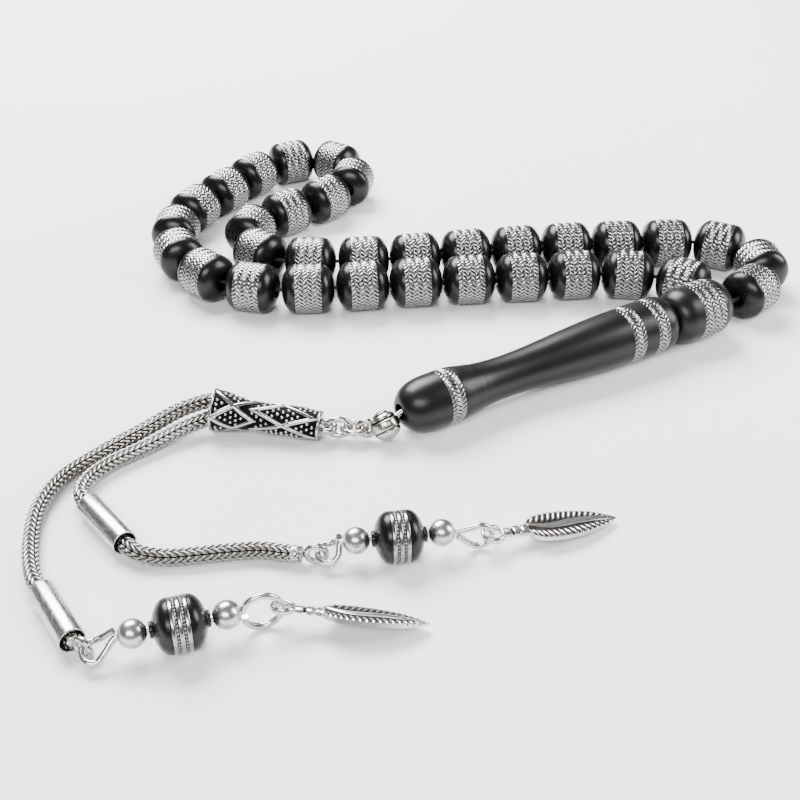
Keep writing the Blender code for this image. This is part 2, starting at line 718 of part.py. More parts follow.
def make_pivots():
    """The tree of joints, from the loop to the feathers."""
    places = link_places()
    pivots = {}
    pivots["leader"] = new_pivot("pivot_leader", LEADER_MOUTH)
    pivots["head"] = new_pivot("pivot_head", LEADER_MOUTH, pivots["leader"])
    pivots["ball"] = new_pivot("pivot_ball", LEADER_TIP, pivots["leader"])
    pivots["link_1"] = new_pivot("pivot_link_1", link_point(places["first_joint"]), pivots["ball"])
    pivots["link_2"] = new_pivot("pivot_link_2", link_point(places["second_joint"]),
                                 pivots["link_1"])
    pivots["tube"] = new_pivot("pivot_tube", link_point(places["third_joint"]), pivots["link_2"])
    routes = (CHAIN_1_ROUTE, CHAIN_2_ROUTE)
    ferrules = (FERRULE_1_ENDS, FERRULE_2_ENDS)
    drops = (DROP_1, DROP_2)
    for number, (route, ends, drop) in enumerate(zip(routes, ferrules, drops), start=1):
        chain = new_pivot(f"pivot_chain_{number}", route[1], pivots["tube"])
        pivots[f"chain_{number}"] = chain
        pivots[f"ferrule_{number}"] = new_pivot(f"pivot_ferrule_{number}",
                                                (ends[0] + ends[1]) / 2, chain)
        pin = new_pivot(f"pivot_pin_{number}", ring_joint(drop), chain)
        pivots[f"pin_{number}"] = pin
        pivots[f"feather_{number}"] = new_pivot(f"pivot_feather_{number}", loop_joint(drop), pin)
    return pivots


def make_misbaha():
    """Build the whole string."""
    clear_scene()
    collection = new_collection("misbaha")
    materials = {
        "black": principled("black_bead", (0.012, 0.011, 0.013), 0.32, 0.0),
        "silver": principled("silver", (0.72, 0.71, 0.69), 0.28, 1.0),
        "chain": principled("oxidised_silver", (0.45, 0.44, 0.42), 0.4, 1.0),
        "cord": principled("black_cord", (0.01, 0.01, 0.01), 0.8, 0.0),
    }
    pivots = make_pivots()
    make_cord(materials, collection, None)
    make_beads(materials, collection, None)
    make_leader(materials, collection, pivots["leader"])
    make_head(materials, collection, pivots["head"])
    make_ball(materials, collection, pivots["ball"])
    make_links(materials, collection, pivots)
    make_tube(materials, collection, pivots["tube"])
    make_chain("chain_1", CHAIN_1_ROUTE, materials, collection, pivots["chain_1"])
    make_chain("chain_2", CHAIN_2_ROUTE, materials, collection, pivots["chain_2"])
    make_ferrule("ferrule_1", FERRULE_1_ENDS, materials, collection, pivots["ferrule_1"])
    make_ferrule("ferrule_2", FERRULE_2_ENDS, materials, collection, pivots["ferrule_2"])
    make_ring("end_ring_1", DROP_1, CHAIN_1_ROUTE[-1], materials, collection, pivots["chain_1"])
    make_ring("end_ring_2", DROP_2, CHAIN_2_ROUTE[-1], materials, collection, pivots["chain_2"])
    make_drop(1, DROP_1, materials, collection, pivots)
    make_drop(2, DROP_2, materials, collection, pivots)


make_misbaha()
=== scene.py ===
# %% [markdown]
# # A misbaha: black prayer beads with silver bands and a silver tassel
#
# A misbaha is a loop of beads on a single cord. Both ends of the cord go into a long bead, the
# leader, and a tassel hangs from the leader's tip. This lesson dresses an engineering model of one
# that lies on a table. The engineering model fixes every size and place, so nothing is fitted by
# eye: most pieces take their place from a joint or a box of that model and the rest from given
# points of its layout, and all but the two chains then move with a body of it.

import json
import math

import bmesh
import bpy
import numpy as np
from mathutils import Matrix, Vector

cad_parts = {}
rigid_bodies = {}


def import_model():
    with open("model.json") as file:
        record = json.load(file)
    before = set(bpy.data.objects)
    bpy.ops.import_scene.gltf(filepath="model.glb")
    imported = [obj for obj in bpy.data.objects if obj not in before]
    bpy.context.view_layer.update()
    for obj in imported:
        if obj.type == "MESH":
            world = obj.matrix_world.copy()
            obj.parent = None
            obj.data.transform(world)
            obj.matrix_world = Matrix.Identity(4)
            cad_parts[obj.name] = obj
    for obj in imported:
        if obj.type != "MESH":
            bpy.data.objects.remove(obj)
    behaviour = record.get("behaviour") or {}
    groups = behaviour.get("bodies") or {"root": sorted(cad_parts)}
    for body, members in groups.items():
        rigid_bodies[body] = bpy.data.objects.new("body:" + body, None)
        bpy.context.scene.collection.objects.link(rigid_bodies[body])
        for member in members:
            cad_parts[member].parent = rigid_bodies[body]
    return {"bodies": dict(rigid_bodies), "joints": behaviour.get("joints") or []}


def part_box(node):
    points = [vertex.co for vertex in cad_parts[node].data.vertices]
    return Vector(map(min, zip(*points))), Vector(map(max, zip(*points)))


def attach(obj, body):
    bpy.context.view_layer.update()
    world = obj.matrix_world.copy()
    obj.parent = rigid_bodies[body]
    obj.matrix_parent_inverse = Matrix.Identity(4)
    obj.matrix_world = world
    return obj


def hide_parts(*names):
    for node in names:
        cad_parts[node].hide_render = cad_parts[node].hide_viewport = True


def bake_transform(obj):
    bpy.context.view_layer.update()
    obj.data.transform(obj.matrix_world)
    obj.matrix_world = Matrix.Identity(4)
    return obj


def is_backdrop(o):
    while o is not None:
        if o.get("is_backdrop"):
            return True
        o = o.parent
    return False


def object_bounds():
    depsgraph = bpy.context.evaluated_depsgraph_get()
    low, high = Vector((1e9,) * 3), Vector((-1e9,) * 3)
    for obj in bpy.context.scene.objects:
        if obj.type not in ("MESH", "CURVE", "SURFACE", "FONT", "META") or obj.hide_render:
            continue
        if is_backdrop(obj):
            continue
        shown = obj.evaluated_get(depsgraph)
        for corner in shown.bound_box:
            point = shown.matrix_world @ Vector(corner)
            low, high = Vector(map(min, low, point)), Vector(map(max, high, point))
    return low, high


MM = 0.001
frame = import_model()
cad_low, cad_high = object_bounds()
joints = {joint["name"]: joint for joint in frame["joints"]}

# %% [markdown]
# ## Camera
#
# The string is shown as jewellery usually is: from the front, looking down at about a third
# of a right angle, through a lens that is a little longer than normal. The camera is placed from
# the point that it looks at, a distance and a height angle, because those three are easy to change
# one at a time.

# %% Place the camera
LOOK_AT = Vector((-10.59, -20.49, 4.0)) * MM
CAMERA_DISTANCE = 170.0 * MM
CAMERA_HEIGHT_ANGLE = math.radians(34.4)
LENS_LENGTH = 54.0

camera_data = bpy.data.cameras.new("camera")
camera_data.lens = LENS_LENGTH
camera_data.clip_start = 0.01
camera = bpy.data.objects.new("camera", camera_data)
bpy.context.scene.collection.objects.link(camera)
backwards = Vector((0.0, -math.cos(CAMERA_HEIGHT_ANGLE), math.sin(CAMERA_HEIGHT_ANGLE)))
camera.location = LOOK_AT + backwards * CAMERA_DISTANCE
camera.rotation_euler = (-backwards).to_track_quat("-Z", "Y").to_euler()
bpy.context.scene.camera = camera
print("camera at", [round(value, 3) for value in camera.location])

# %% [markdown]
# ## Smooth routes
#
# Cord, chain and bent wire all follow a smooth line through a few given points. A
# Catmull-Rom curve passes through every one of its points, so the points stay readable. The
# centripetal kind is used because it never loops or overshoots where points are close together.

# %% A smooth line through points
def smooth_route(points, parts=24):
    """Dense points on a centripetal Catmull-Rom curve through the given points."""
    knots = [Vector(point) for point in points]
    knots = [2 * knots[0] - knots[1]] + knots + [2 * knots[-1] - knots[-2]]
    dense = []
    for before, start, end, after in zip(knots, knots[1:], knots[2:], knots[3:]):
        first = math.sqrt((start - before).length)
        middle = math.sqrt((end - start).length)
        last = math.sqrt((after - end).length)
        leave = ((start - before) / first - (end - before) / (first + middle)
                 + (end - start) / middle) * middle
        arrive = ((end - start) / middle - (after - start) / (middle + last)
                  + (after - end) / last) * middle
        for step in range(parts):
            t = step / parts
            dense.append(start * (2 * t**3 - 3 * t**2 + 1) + leave * (t**3 - 2 * t**2 + t)
                         + end * (3 * t**2 - 2 * t**3) + arrive * (t**3 - t**2))
    dense.append(knots[-2])
    return np.array(dense)


# %% Even spacing along a line
def spaced_evenly(line, step):
    """The same line with a point about every step metres, both ends kept."""
    lengths = np.concatenate([[0.0], np.cumsum(np.linalg.norm(np.diff(line, axis=0), axis=1))])
    places = np.linspace(0.0, lengths[-1], max(3, round(lengths[-1] / step) + 1))
    return np.stack([np.interp(places, lengths, line[:, axis]) for axis in range(3)], axis=1)


def route_length(line):
    """Length of a line of points."""
    return float(np.linalg.norm(np.diff(line, axis=0), axis=1).sum())


# %% [markdown]
# ## Skins
#
# Almost every piece of this object is round: turned on a lathe, drawn as wire or woven into a
# round chain. Such a surface is a row of rings joined by quads, so one helper that skins rings
# makes them all. Rings can be closed into a loop, as for a bored bead, or capped at both ends. A
# number can be stored on every point, called pit, which the metal finishes read to darken the
# hollows where tarnish stays.

# %% Put a mesh in the scene
def show(name, mesh):
    """A new object with this mesh, in the scene."""
    piece = bpy.data.objects.new(name, mesh)
    bpy.context.scene.collection.objects.link(piece)
    return piece


def angles_round(around):
    """Angles of the points on a ring."""
    return np.linspace(0.0, 2 * math.pi, around, endpoint=False)


# %% Skin a row of rings
SHARP_ANGLE = math.radians(50.0)


def skin(name, rings, loop=False, pit=None):
    """A closed mesh object from an array of rings: ring, point on the ring, and x, y, z."""
    count, around = rings.shape[:2]
    numbers = np.arange(count * around).reshape(count, around)
    ahead = np.roll(numbers, -1, axis=0) if loop else numbers[1:]
    here = numbers if loop else numbers[:-1]
    quads = np.stack([here, np.roll(here, -1, axis=1), np.roll(ahead, -1, axis=1), ahead], axis=-1)
    faces = quads.reshape(-1, 4).tolist()
    if not loop:
        faces += [numbers[0][::-1].tolist(), numbers[-1].tolist()]
    mesh = bpy.data.meshes.new(name)
    mesh.from_pydata(rings.reshape(-1, 3).tolist(), [], faces)
    if pit is not None:
        values = mesh.attributes.new("pit", "FLOAT", "POINT")
        values.data.foreach_set("value", np.asarray(pit, np.float32).ravel())
    face_outwards(mesh)
    return show(name, mesh)


def face_outwards(mesh):
    """Point a closed mesh's faces outwards and shade it smooth."""
    shell = bmesh.new()
    shell.from_mesh(mesh)
    if shell.calc_volume(signed=True) < 0.0:
        bmesh.ops.reverse_faces(shell, faces=shell.faces)
    shell.to_mesh(mesh)
    shell.free()
    mesh.shade_smooth()
    mesh.set_sharp_from_angle(angle=SHARP_ANGLE)


# %% Rings of a lathe and of a tube
def lathe_rings(profile, around=64):
    """Rings from a profile of (radius, height) pairs turned round the Z axis."""
    radius, height = np.array(profile, float).T
    angles = angles_round(around)
    rings = np.empty((len(radius), around, 3))
    rings[:, :, 0] = radius[:, None] * np.cos(angles)
    rings[:, :, 1] = radius[:, None] * np.sin(angles)
    rings[:, :, 2] = height[:, None]
    return rings


def tube_rings(line, radius, around=16, closed=False):
    """Rings round a line of points. radius is a number, or one for each ring and point."""
    ahead = np.roll(line, -1, axis=0) - np.roll(line, 1, axis=0)
    if not closed:
        ahead[0] = line[1] - line[0]
        ahead[-1] = line[-1] - line[-2]
    ahead /= np.linalg.norm(ahead, axis=1)[:, None]
    start_up = (0.0, 0.0, 1.0) if abs(ahead[0][2]) < 0.9 else (1.0, 0.0, 0.0)
    side = np.cross(start_up, ahead[0])
    side /= np.linalg.norm(side)
    sides = np.empty_like(line)
    for index, direction in enumerate(ahead):
        side = side - direction * (side @ direction)
        side /= np.linalg.norm(side)
        sides[index] = side
    uprights = np.cross(ahead, sides)
    angles = angles_round(around)
    reach = np.broadcast_to(radius, (len(line), around))[:, :, None]
    across = sides[:, None, :] * np.cos(angles)[None, :, None]
    upward = uprights[:, None, :] * np.sin(angles)[None, :, None]
    return line[:, None, :] + (across + upward) * reach


# %% [markdown]
# ## Places
#
# The engineering model's joints already say where every moving piece is and which way it points: a
# bead turns about the cord, a drop's bead turns about its pin. Reading places from the joints
# keeps this file free of copied coordinates.

# %% Where a joint is and which way it points
def joint_place(name):
    """The point of a joint, in metres."""
    return Vector(joints[name]["pos_m"])


def joint_axis(name):
    """The direction of a joint."""
    return Vector(joints[name]["axis"]).normalized()


def standing_on(place, direction):
    """A matrix at a place with local Z along the direction and local X downwards."""
    axis = direction.normalized()
    down = Vector((0.0, 0.0, -1.0))
    side = (down - axis * down.dot(axis)).normalized()
    turn = Matrix((side, axis.cross(side), axis)).transposed().to_4x4()
    return Matrix.Translation(place) @ turn


def dress(piece, body, material, stands_for=()):
    """Give a piece its material and let it move with a body of the engineering model."""
    piece.data.materials.clear()
    piece.data.materials.append(material)
    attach(piece, body)
    if stands_for:
        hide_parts(*stands_for)
    return piece


# %% [markdown]
# ## Finishes: a node helper
#
# Every finish is a Principled shader with textures for what changes over the surface. The texture
# follows the object's own coordinates in metres, so its grain has a real size and moves with the
# piece. Each object also shifts its texture by its own random number, so that 33 beads that share
# one mesh are not 33 copies of one pattern.

# %% Start a finish
class Finish:
    """A material under construction, with its shader and shared texture coordinates."""

    def __init__(self, name, metallic, specular=0.5):
        self.material = bpy.data.materials.new(name)
        self.material.use_nodes = True
        self.nodes = self.material.node_tree.nodes
        self.links = self.material.node_tree.links
        self.shader = self.nodes["Principled BSDF"]
        self.shader.inputs["Metallic"].default_value = metallic
        self.shader.inputs["Specular IOR Level"].default_value = specular
        coordinates = self.nodes.new("ShaderNodeTexCoord")
        chance = self.nodes.new("ShaderNodeObjectInfo")
        shift = self.nodes.new("ShaderNodeVectorMath")
        shift.operation = "ADD"
        self.links.new(coordinates.outputs["Object"], shift.inputs[0])
        self.links.new(chance.outputs["Random"], shift.inputs[1])
        self.place = shift.outputs[0]

    def noise(self, size, detail=4.0, stretch=None):
        """Noise with grains of about this size in metres."""
        texture = self.nodes.new("ShaderNodeTexNoise")
        texture.inputs["Scale"].default_value = 1.0 / size
        texture.inputs["Detail"].default_value = detail
        source = self.place
        if stretch is not None:
            mapping = self.nodes.new("ShaderNodeMapping")
            mapping.inputs["Scale"].default_value = stretch
            self.links.new(source, mapping.inputs["Vector"])
            source = mapping.outputs[0]
        self.links.new(source, texture.inputs["Vector"])
        return texture.outputs["Fac"]

    def between(self, factor, low, high, start=0.0, end=1.0):
        """A number that goes from low to high as the factor goes from start to end."""
        span = self.nodes.new("ShaderNodeMapRange")
        span.inputs["From Min"].default_value = start
        span.inputs["From Max"].default_value = end
        span.inputs["To Min"].default_value = low
        span.inputs["To Max"].default_value = high
        self.links.new(factor, span.inputs["Value"])
        return span.outputs[0]

    def ramp(self, factor, stops):
        """A colour ramp from (position, colour) stops."""
        ramp = self.nodes.new("ShaderNodeValToRGB")
        band = ramp.color_ramp
        while len(band.elements) < len(stops):
            band.elements.new(0.5)
        for element, (position, colour) in zip(band.elements, stops):
            element.position = position
            element.color = (*colour, 1.0)
        self.links.new(factor, ramp.inputs["Fac"])
        return ramp.outputs["Color"]

    def stored(self, name):
        """A number stored on the points of the mesh."""
        attribute = self.nodes.new("ShaderNodeAttribute")
        attribute.attribute_name = name
        return attribute.outputs["Fac"]

    def mixed(self, factor, first, second):
        """A blend of two colours."""
        mix = self.nodes.new("ShaderNodeMix")
        mix.data_type = "RGBA"
        self.links.new(factor, mix.inputs["Factor"])
        self.links.new(first, mix.inputs["A"])
        self.links.new(second, mix.inputs["B"])
        return mix.outputs["Result"]

    def colour(self, source):
        """Feed the base colour."""
        self.links.new(source, self.shader.inputs["Base Color"])

    def roughness(self, source):
        """Feed the roughness."""
        self.links.new(source, self.shader.inputs["Roughness"])

    def bump(self, height, depth):
        """Raise and lower the shading by a height, with a depth in metres."""
        bump = self.nodes.new("ShaderNodeBump")
        bump.inputs["Strength"].default_value = 1.0
        bump.inputs["Distance"].default_value = depth
        self.links.new(height, bump.inputs["Height"])
        self.links.new(bump.outputs["Normal"], self.shader.inputs["Normal"])


# %% [markdown]
# ## Cord
#
# The loop is one twisted cord of about two thirds of a millimetre. It comes out of the leader's
# head, runs through all the beads and goes back into the same hole, where both ends are knotted
# out of sight. It could be a plain bevelled curve, but then the gaps between beads would show a
# smooth wire. A tube whose radius follows three lobes that wind along it looks like a real
# three-ply cord. The route is the one that the engineering model follows.

# %% Finish of the cord
def cord_finish():
    """Black waxed thread: matt, with fine fibres."""
    finish = Finish("black_waxed_thread", metallic=0.0, specular=0.3)
    fibre = finish.noise(0.12 * MM, detail=6.0)
    finish.colour(finish.ramp(fibre, [(0.3, (0.006, 0.006, 0.007)), (0.75, (0.03, 0.028, 0.03))]))
    finish.roughness(finish.between(fibre, 0.6, 0.9))
    finish.bump(fibre, 0.03 * MM)
    return finish.material


# %% Lay the cord
TABLE_MIDDLE = Vector((10.59, 20.49, 0.0))
CORD_HEIGHT = 4.0
CORD_RADIUS = 0.34 * MM
CORD_LAY = 1.7 * MM
CORD_STEP = 0.2 * MM
CORD_SIDES = 12
PLY_RELIEF = 0.14
LOOP_ROUTE = [
    (50.1, 25.5), (51.9, 26.6), (54.2, 28.7), (57.2, 31.4), (60.6, 35.2), (61.5, 40.2),
    (59.2, 45.4), (54.4, 48.8), (47.6, 48.8), (29.4, 47.6), (11.5, 45.0), (-6.4, 42.2),
    (-15.2, 41.8), (-22.0, 42.9), (-26.6, 46.9), (-27.4, 52.6), (-24.9, 57.4), (-20.8, 60.8),
    (-14.5, 66.0), (-9.7, 72.2), (-9.0, 79.1), (-13.3, 84.5), (-20.4, 85.2), (-26.4, 80.6),
    (-33.2, 70.2), (-38.1, 62.2), (-40.2, 53.4), (-38.2, 44.3), (-32.4, 36.9), (-24.6, 32.6),
    (-15.6, 32.2), (2.0, 34.4), (19.9, 36.1), (37.6, 37.3), (45.8, 35.3), (49.9, 32.3),
    (51.9, 30.4), (52.3, 29.0), (50.9, 27.5), (49.3, 26.6),
]


def on_table(point):
    """A point of the layout, in millimetres, as a point of the model in metres."""
    return (Vector(point) - TABLE_MIDDLE) * MM


def lay_cord():
    """The twisted cord through the leader's head and all the beads."""
    route = smooth_route([on_table((x, y, CORD_HEIGHT)) for x, y in LOOP_ROUTE])
    line = spaced_evenly(route, CORD_STEP)
    turns = np.arange(len(line)) * CORD_STEP / CORD_LAY
    lobes = np.cos(3 * (angles_round(CORD_SIDES)[None, :] - 2 * math.pi * turns[:, None] / 3))
    radius = CORD_RADIUS * (1 - PLY_RELIEF + PLY_RELIEF * lobes)
    cord = skin("threading_cord", tube_rings(line, radius, around=CORD_SIDES))
    dress(cord, "loop_cord", cord_finish(), ["loop_cord"])
    print("cord length", round(route_length(line), 3), "m")


lay_cord()

# %% [markdown]
# ## Tarnished silver
#
# The bands, the chains and the cast pieces are blackened on purpose and then rubbed bright, so the
# high places shine and the hollows stay dark. A finish can only know where the hollows are if the
# mesh tells it, and the pit number on each point does that: 0 on the high places and 1 at the
# bottom of a hollow.

# %% Finish of tarnished silver
def tarnished_silver(name, shine, ground, polish=0.24, grain=0.5 * MM):
    """Silver that is bright on its high places and blackened in its hollows."""
    finish = Finish(name, metallic=1.0)
    pit = finish.stored("pit")
    rubbed = finish.noise(grain, detail=5.0)
    worn = tuple(0.72 * value for value in shine)
    smoky = tuple(3.5 * value for value in ground)
    metal = finish.ramp(rubbed, [(0.3, worn), (0.6, shine)])
    depths = finish.ramp(pit, [(0.3, (0.0, 0.0, 0.0)), (0.75, (1.0, 1.0, 1.0))])
    dark = finish.ramp(rubbed, [(0.3, ground), (0.9, smoky)])
    finish.colour(finish.mixed(depths, metal, dark))
    finish.roughness(finish.between(pit, polish, 0.55, 0.2, 0.9))
    finish.bump(finish.noise(0.09 * MM, detail=3.0), 0.006 * MM)
    return finish.material


# %% [markdown]
# ## Woven chains
#
# The two chains are foxtail chains: small loops of wire are folded through each other, and the
# outside shows four faces of nested V shapes with a dark line down each face. Modelling every
# loop would take thousands of rings. What the eye sees is the relief, so the chain is one tube
# with a fine mesh, and its radius follows the V shapes.

# %% Relief of the weave
CHAIN_RADIUS = 1.15 * MM
CHAIN_STEP = 0.1 * MM
CHAIN_AROUND = 64
WEAVE_PITCH = 0.92
WEAVE_LEAN = 1.25
WEAVE_DEPTH = 0.24 * MM


def weave_height(along, angle):
    """Height of the weave from 0 in the gaps to 1 on the wires, at a distance in millimetres."""
    face = np.mod(angle / (math.pi / 2), 1.0) * 2 - 1
    phase = along / WEAVE_PITCH + WEAVE_LEAN * np.abs(face)
    wires = np.abs(np.sin(math.pi * phase)) ** 0.75
    middle_line = 1 - 0.95 * np.exp(-(face / 0.13) ** 2)
    corner_line = 1 - 0.45 * np.exp(-((np.abs(face) - 1) / 0.1) ** 2)
    return wires * middle_line * corner_line


# %% Make the two chains
CHAIN_ROUTES = {
    1: [
        (-25.8, -0.2, 4.1), (-26.3, -0.1, 4.15), (-30.5, -1.4, 3.5), (-35.0, -4.2, 2.3),
        (-41.0, -9.0, 1.3), (-45.0, -14.2, 1.2), (-46.5, -20.3, 1.2), (-45.9, -27.0, 1.2),
        (-43.8, -34.0, 1.5), (-42.2, -36.4, 1.65), (-39.5, -40.4, 1.65), (-36.7, -44.5, 1.65),
    ],
    2: [
        (-26.2, -1.8, 2.4), (-26.6, -1.9, 2.3), (-30.5, -4.0, 1.8), (-34.6, -7.2, 1.3),
        (-39.2, -11.2, 1.2), (-41.4, -14.8, 1.3), (-41.6, -17.9, 1.55), (-40.7, -19.7, 1.65),
        (-37.1, -24.1, 1.65), (-33.4, -28.6, 1.65), (-31.8, -29.7, 1.5), (-29.0, -30.0, 1.2),
        (-25.0, -29.6, 1.2), (-21.0, -29.0, 1.2), (-17.0, -28.7, 1.2), (-14.6, -29.2, 1.3),
        (-12.1, -29.8, 1.55),
    ],
}


def chain_line(number):
    """The middle of a chain, evenly spaced."""
    return spaced_evenly(smooth_route([on_table(p) for p in CHAIN_ROUTES[number]]), CHAIN_STEP)


def make_chain(number, finish):
    """One woven chain along its route from the end tube."""
    line = chain_line(number)
    along = np.arange(len(line))[:, None] * CHAIN_STEP / MM
    height = weave_height(along, angles_round(CHAIN_AROUND)[None, :])
    corners = 1 + 0.05 * np.cos(4 * angles_round(CHAIN_AROUND) + math.pi)
    radius = CHAIN_RADIUS * corners / 1.05 - WEAVE_DEPTH * (1 - height)
    chain = skin(f"foxtail_chain_{number}", tube_rings(line, radius, CHAIN_AROUND), pit=1 - height)
    chain.data.materials.append(finish)
    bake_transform(chain)
    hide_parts(f"chain_{number}")
    print(chain.name, "length", round(route_length(line), 4), "m,", len(chain.data.polygons), "faces")


chain_finish = tarnished_silver("woven_silver", (0.34, 0.325, 0.31), (0.004, 0.0036, 0.0036), 0.22)
for chain_number in CHAIN_ROUTES:
    make_chain(chain_number, chain_finish)

# %% [markdown]
# ## Black beads
#
# Each bead is turned from a black stone such as oltu or onyx: a short belt with two domes. The
# belt is cut down to leave a seat, and a silver band fills the seat, so stone and band are two
# pieces here. The domes are arcs of an ellipse, written as a formula. One mesh serves all 33
# beads, because beads from one lathe are alike and a shared mesh costs its memory only once.

# %% Finish of the stone
def black_stone(name, grain, satin):
    """Black stone with a satin polish: dark clouds and very fine scratches."""
    finish = Finish(name, metallic=0.0, specular=0.3)
    clouds = finish.noise(grain, detail=5.0)
    finish.colour(finish.ramp(clouds, [(0.35, (0.0015, 0.0013, 0.0015)),
                                       (0.75, (0.004, 0.0035, 0.004))]))
    scratches = finish.noise(0.3 * MM, detail=6.0, stretch=(1.0, 1.0, 6.0))
    finish.roughness(finish.between(scratches, satin - 0.05, satin + 0.09, 0.3, 0.7))
    finish.bump(scratches, 0.0025 * MM)
    return finish.material


# %% Turn the bead
BEAD_RADIUS = 4.0 * MM
BEAD_LENGTH = 8.5 * MM
BEAD_TIP_RADIUS = 1.38 * MM
BEAD_BORE_RADIUS = 1.22 * MM
BELT_WIDTH = 4.3 * MM
SEAT_DEPTH = 0.3 * MM


def dome_profile(belt_radius, belt_half, tip_radius, tip_height, steps=14):
    """Outline of a dome from its tip down to the belt, as an arc of an ellipse."""
    reach = (tip_height - belt_half) / math.sqrt(1 - (tip_radius / belt_radius) ** 2)
    top = math.acos(tip_radius / belt_radius)
    angles = np.linspace(top, 0.0, steps)
    return [(belt_radius * math.cos(a), belt_half + reach * math.sin(a)) for a in angles]


def both_sides(upper):
    """A profile's upper half followed by its mirror image."""
    return upper + [(radius, -height) for radius, height in reversed(upper)]


def bead_stone_rings():
    """Rings of the stone of one bead, with a seat round its belt."""
    half = BELT_WIDTH / 2
    dome = dome_profile(BEAD_RADIUS, half, BEAD_TIP_RADIUS, BEAD_LENGTH / 2)
    lip = [(BEAD_BORE_RADIUS, BEAD_LENGTH / 2 - 0.12 * MM),
           (BEAD_BORE_RADIUS + 0.05 * MM, BEAD_LENGTH / 2 - 0.02 * MM)]
    seat = [(BEAD_RADIUS - SEAT_DEPTH, half - 0.02 * MM)]
    return lathe_rings(both_sides(lip + dome + seat))


# %% [markdown]
# ## Braided bands
#
# The bands look like flat braid: columns of small slanted grains run round the bead, and every
# second column leans the other way, which gives the herringbone. Stamping dies make such strip by
# pressing each grain up, so the relief is modelled as a height. Every grain has a rounded crown,
# and a short slanted slit, cut deep and left dark, parts it from the next grain in its column. The
# same function makes the bands of the leader, with fewer or more columns.

# %% Relief of the braid
GRAIN_LEAN = 0.8
GRAIN_DEPTH = 0.16 * MM
POINTS_PER_GRAIN = 6


def braid_height(across, turn, columns, grains):
    """Height of the braid, from 0 in a pit to 1 on a grain. across and turn go from 0 to 1."""
    column = np.minimum(np.floor(across * columns), columns - 1)
    sideways = across * columns - column - 0.5
    lean = np.where(column % 2 == 0, GRAIN_LEAN, -GRAIN_LEAN)
    phase = turn * grains + lean * sideways + 0.5 * (column % 2)
    lengthways = np.mod(phase, 1.0) - 0.5
    crown = np.sqrt(np.clip(1 - (sideways / 0.66) ** 2 - 0.5 * (lengthways / 0.6) ** 2, 0.0, 1.0))
    slit_ends = np.clip((0.44 - np.abs(sideways)) / 0.14, 0.0, 1.0)
    slit = np.clip((np.abs(lengthways) - 0.27) / 0.12, 0.0, 1.0) * slit_ends
    return crown * (1 - slit)


def braided_band_rings(outline, columns, grains, thickness):
    """Rings and pits of a braided band. outline gives radius from height, ends first and last."""
    steps = columns * POINTS_PER_GRAIN
    around = grains * POINTS_PER_GRAIN
    across = np.linspace(0.0, 1.0, steps + 1)[:, None]
    turn = np.linspace(0.0, 1.0, around, endpoint=False)[None, :]
    height = braid_height(across, turn, columns, grains)
    heights = np.linspace(outline[-1][1], outline[0][1], steps + 1)
    radius = np.interp(heights, [h for _, h in reversed(outline)], [r for r, _ in reversed(outline)])
    outer = lathe_rings(list(zip(radius, heights)), around)
    outer[:, :, :2] *= (1 - GRAIN_DEPTH * (1 - height) / radius[:, None])[:, :, None]
    inner_radius = float(radius.min()) - thickness
    inner = lathe_rings([(inner_radius, heights[0]), (inner_radius, heights[-1])], around)
    rings = np.concatenate([inner[:1], outer, inner[1:]])
    flat = np.ones((1, around))
    return rings, np.concatenate([flat, 1 - height, flat])


# %% String the beads
BAND_COLUMNS = 6
BAND_GRAINS = 34
BAND_PROUD = 0.04 * MM
BEAD_SPIN = 2.4              # how far each bead is turned from the one before, in radians

silver_band_finish = tarnished_silver("rubbed_silver_braid", (0.36, 0.36, 0.37),
                                      (0.003, 0.003, 0.003), 0.2)
bead_stone_finish = black_stone("satin_black_stone", 1.5 * MM, 0.27)


def string_beads():
    """A stone and a band for each bead joint."""
    stone = skin("bead_stone", bead_stone_rings(), loop=True)
    outline = [(BEAD_RADIUS + BAND_PROUD, BELT_WIDTH / 2), (BEAD_RADIUS + BAND_PROUD, -BELT_WIDTH / 2)]
    rings, pit = braided_band_rings(outline, BAND_COLUMNS, BAND_GRAINS, SEAT_DEPTH)
    band = skin("bead_band", rings, loop=True, pit=pit)
    names = sorted(name for name in frame["bodies"] if name.startswith("bead_"))
    for name in names:
        joint = f"{name}_turn"
        place = standing_on(joint_place(joint), joint_axis(joint))
        for pattern, part, finish, stands_for in (
                (stone, "stone", bead_stone_finish, [name]), (band, "band", silver_band_finish, [])):
            piece = show(f"{name}_{part}", pattern.data)
            spin = Matrix.Rotation(BEAD_SPIN * names.index(name), 4, "Z")
            piece.matrix_world = place @ spin
            dress(piece, name, finish, stands_for)
    for pattern in (stone, band):
        bpy.data.objects.remove(pattern)
    print(len(names), "beads, each with", len(pit.ravel()), "points in its band")


string_beads()

# %% [markdown]
# ## Leader and its head
#
# The leader is one long turned bead, slim at the waist, with a domed tip. Its separate head is a
# short cylinder with a mouth for the cord. Both are lathe work, so both are profiles. The outline
# is smoothed through a few measured places, and a groove is cut where each silver band sits. A
# faint line a little above the lower band is where the domed tip was turned as its own piece.

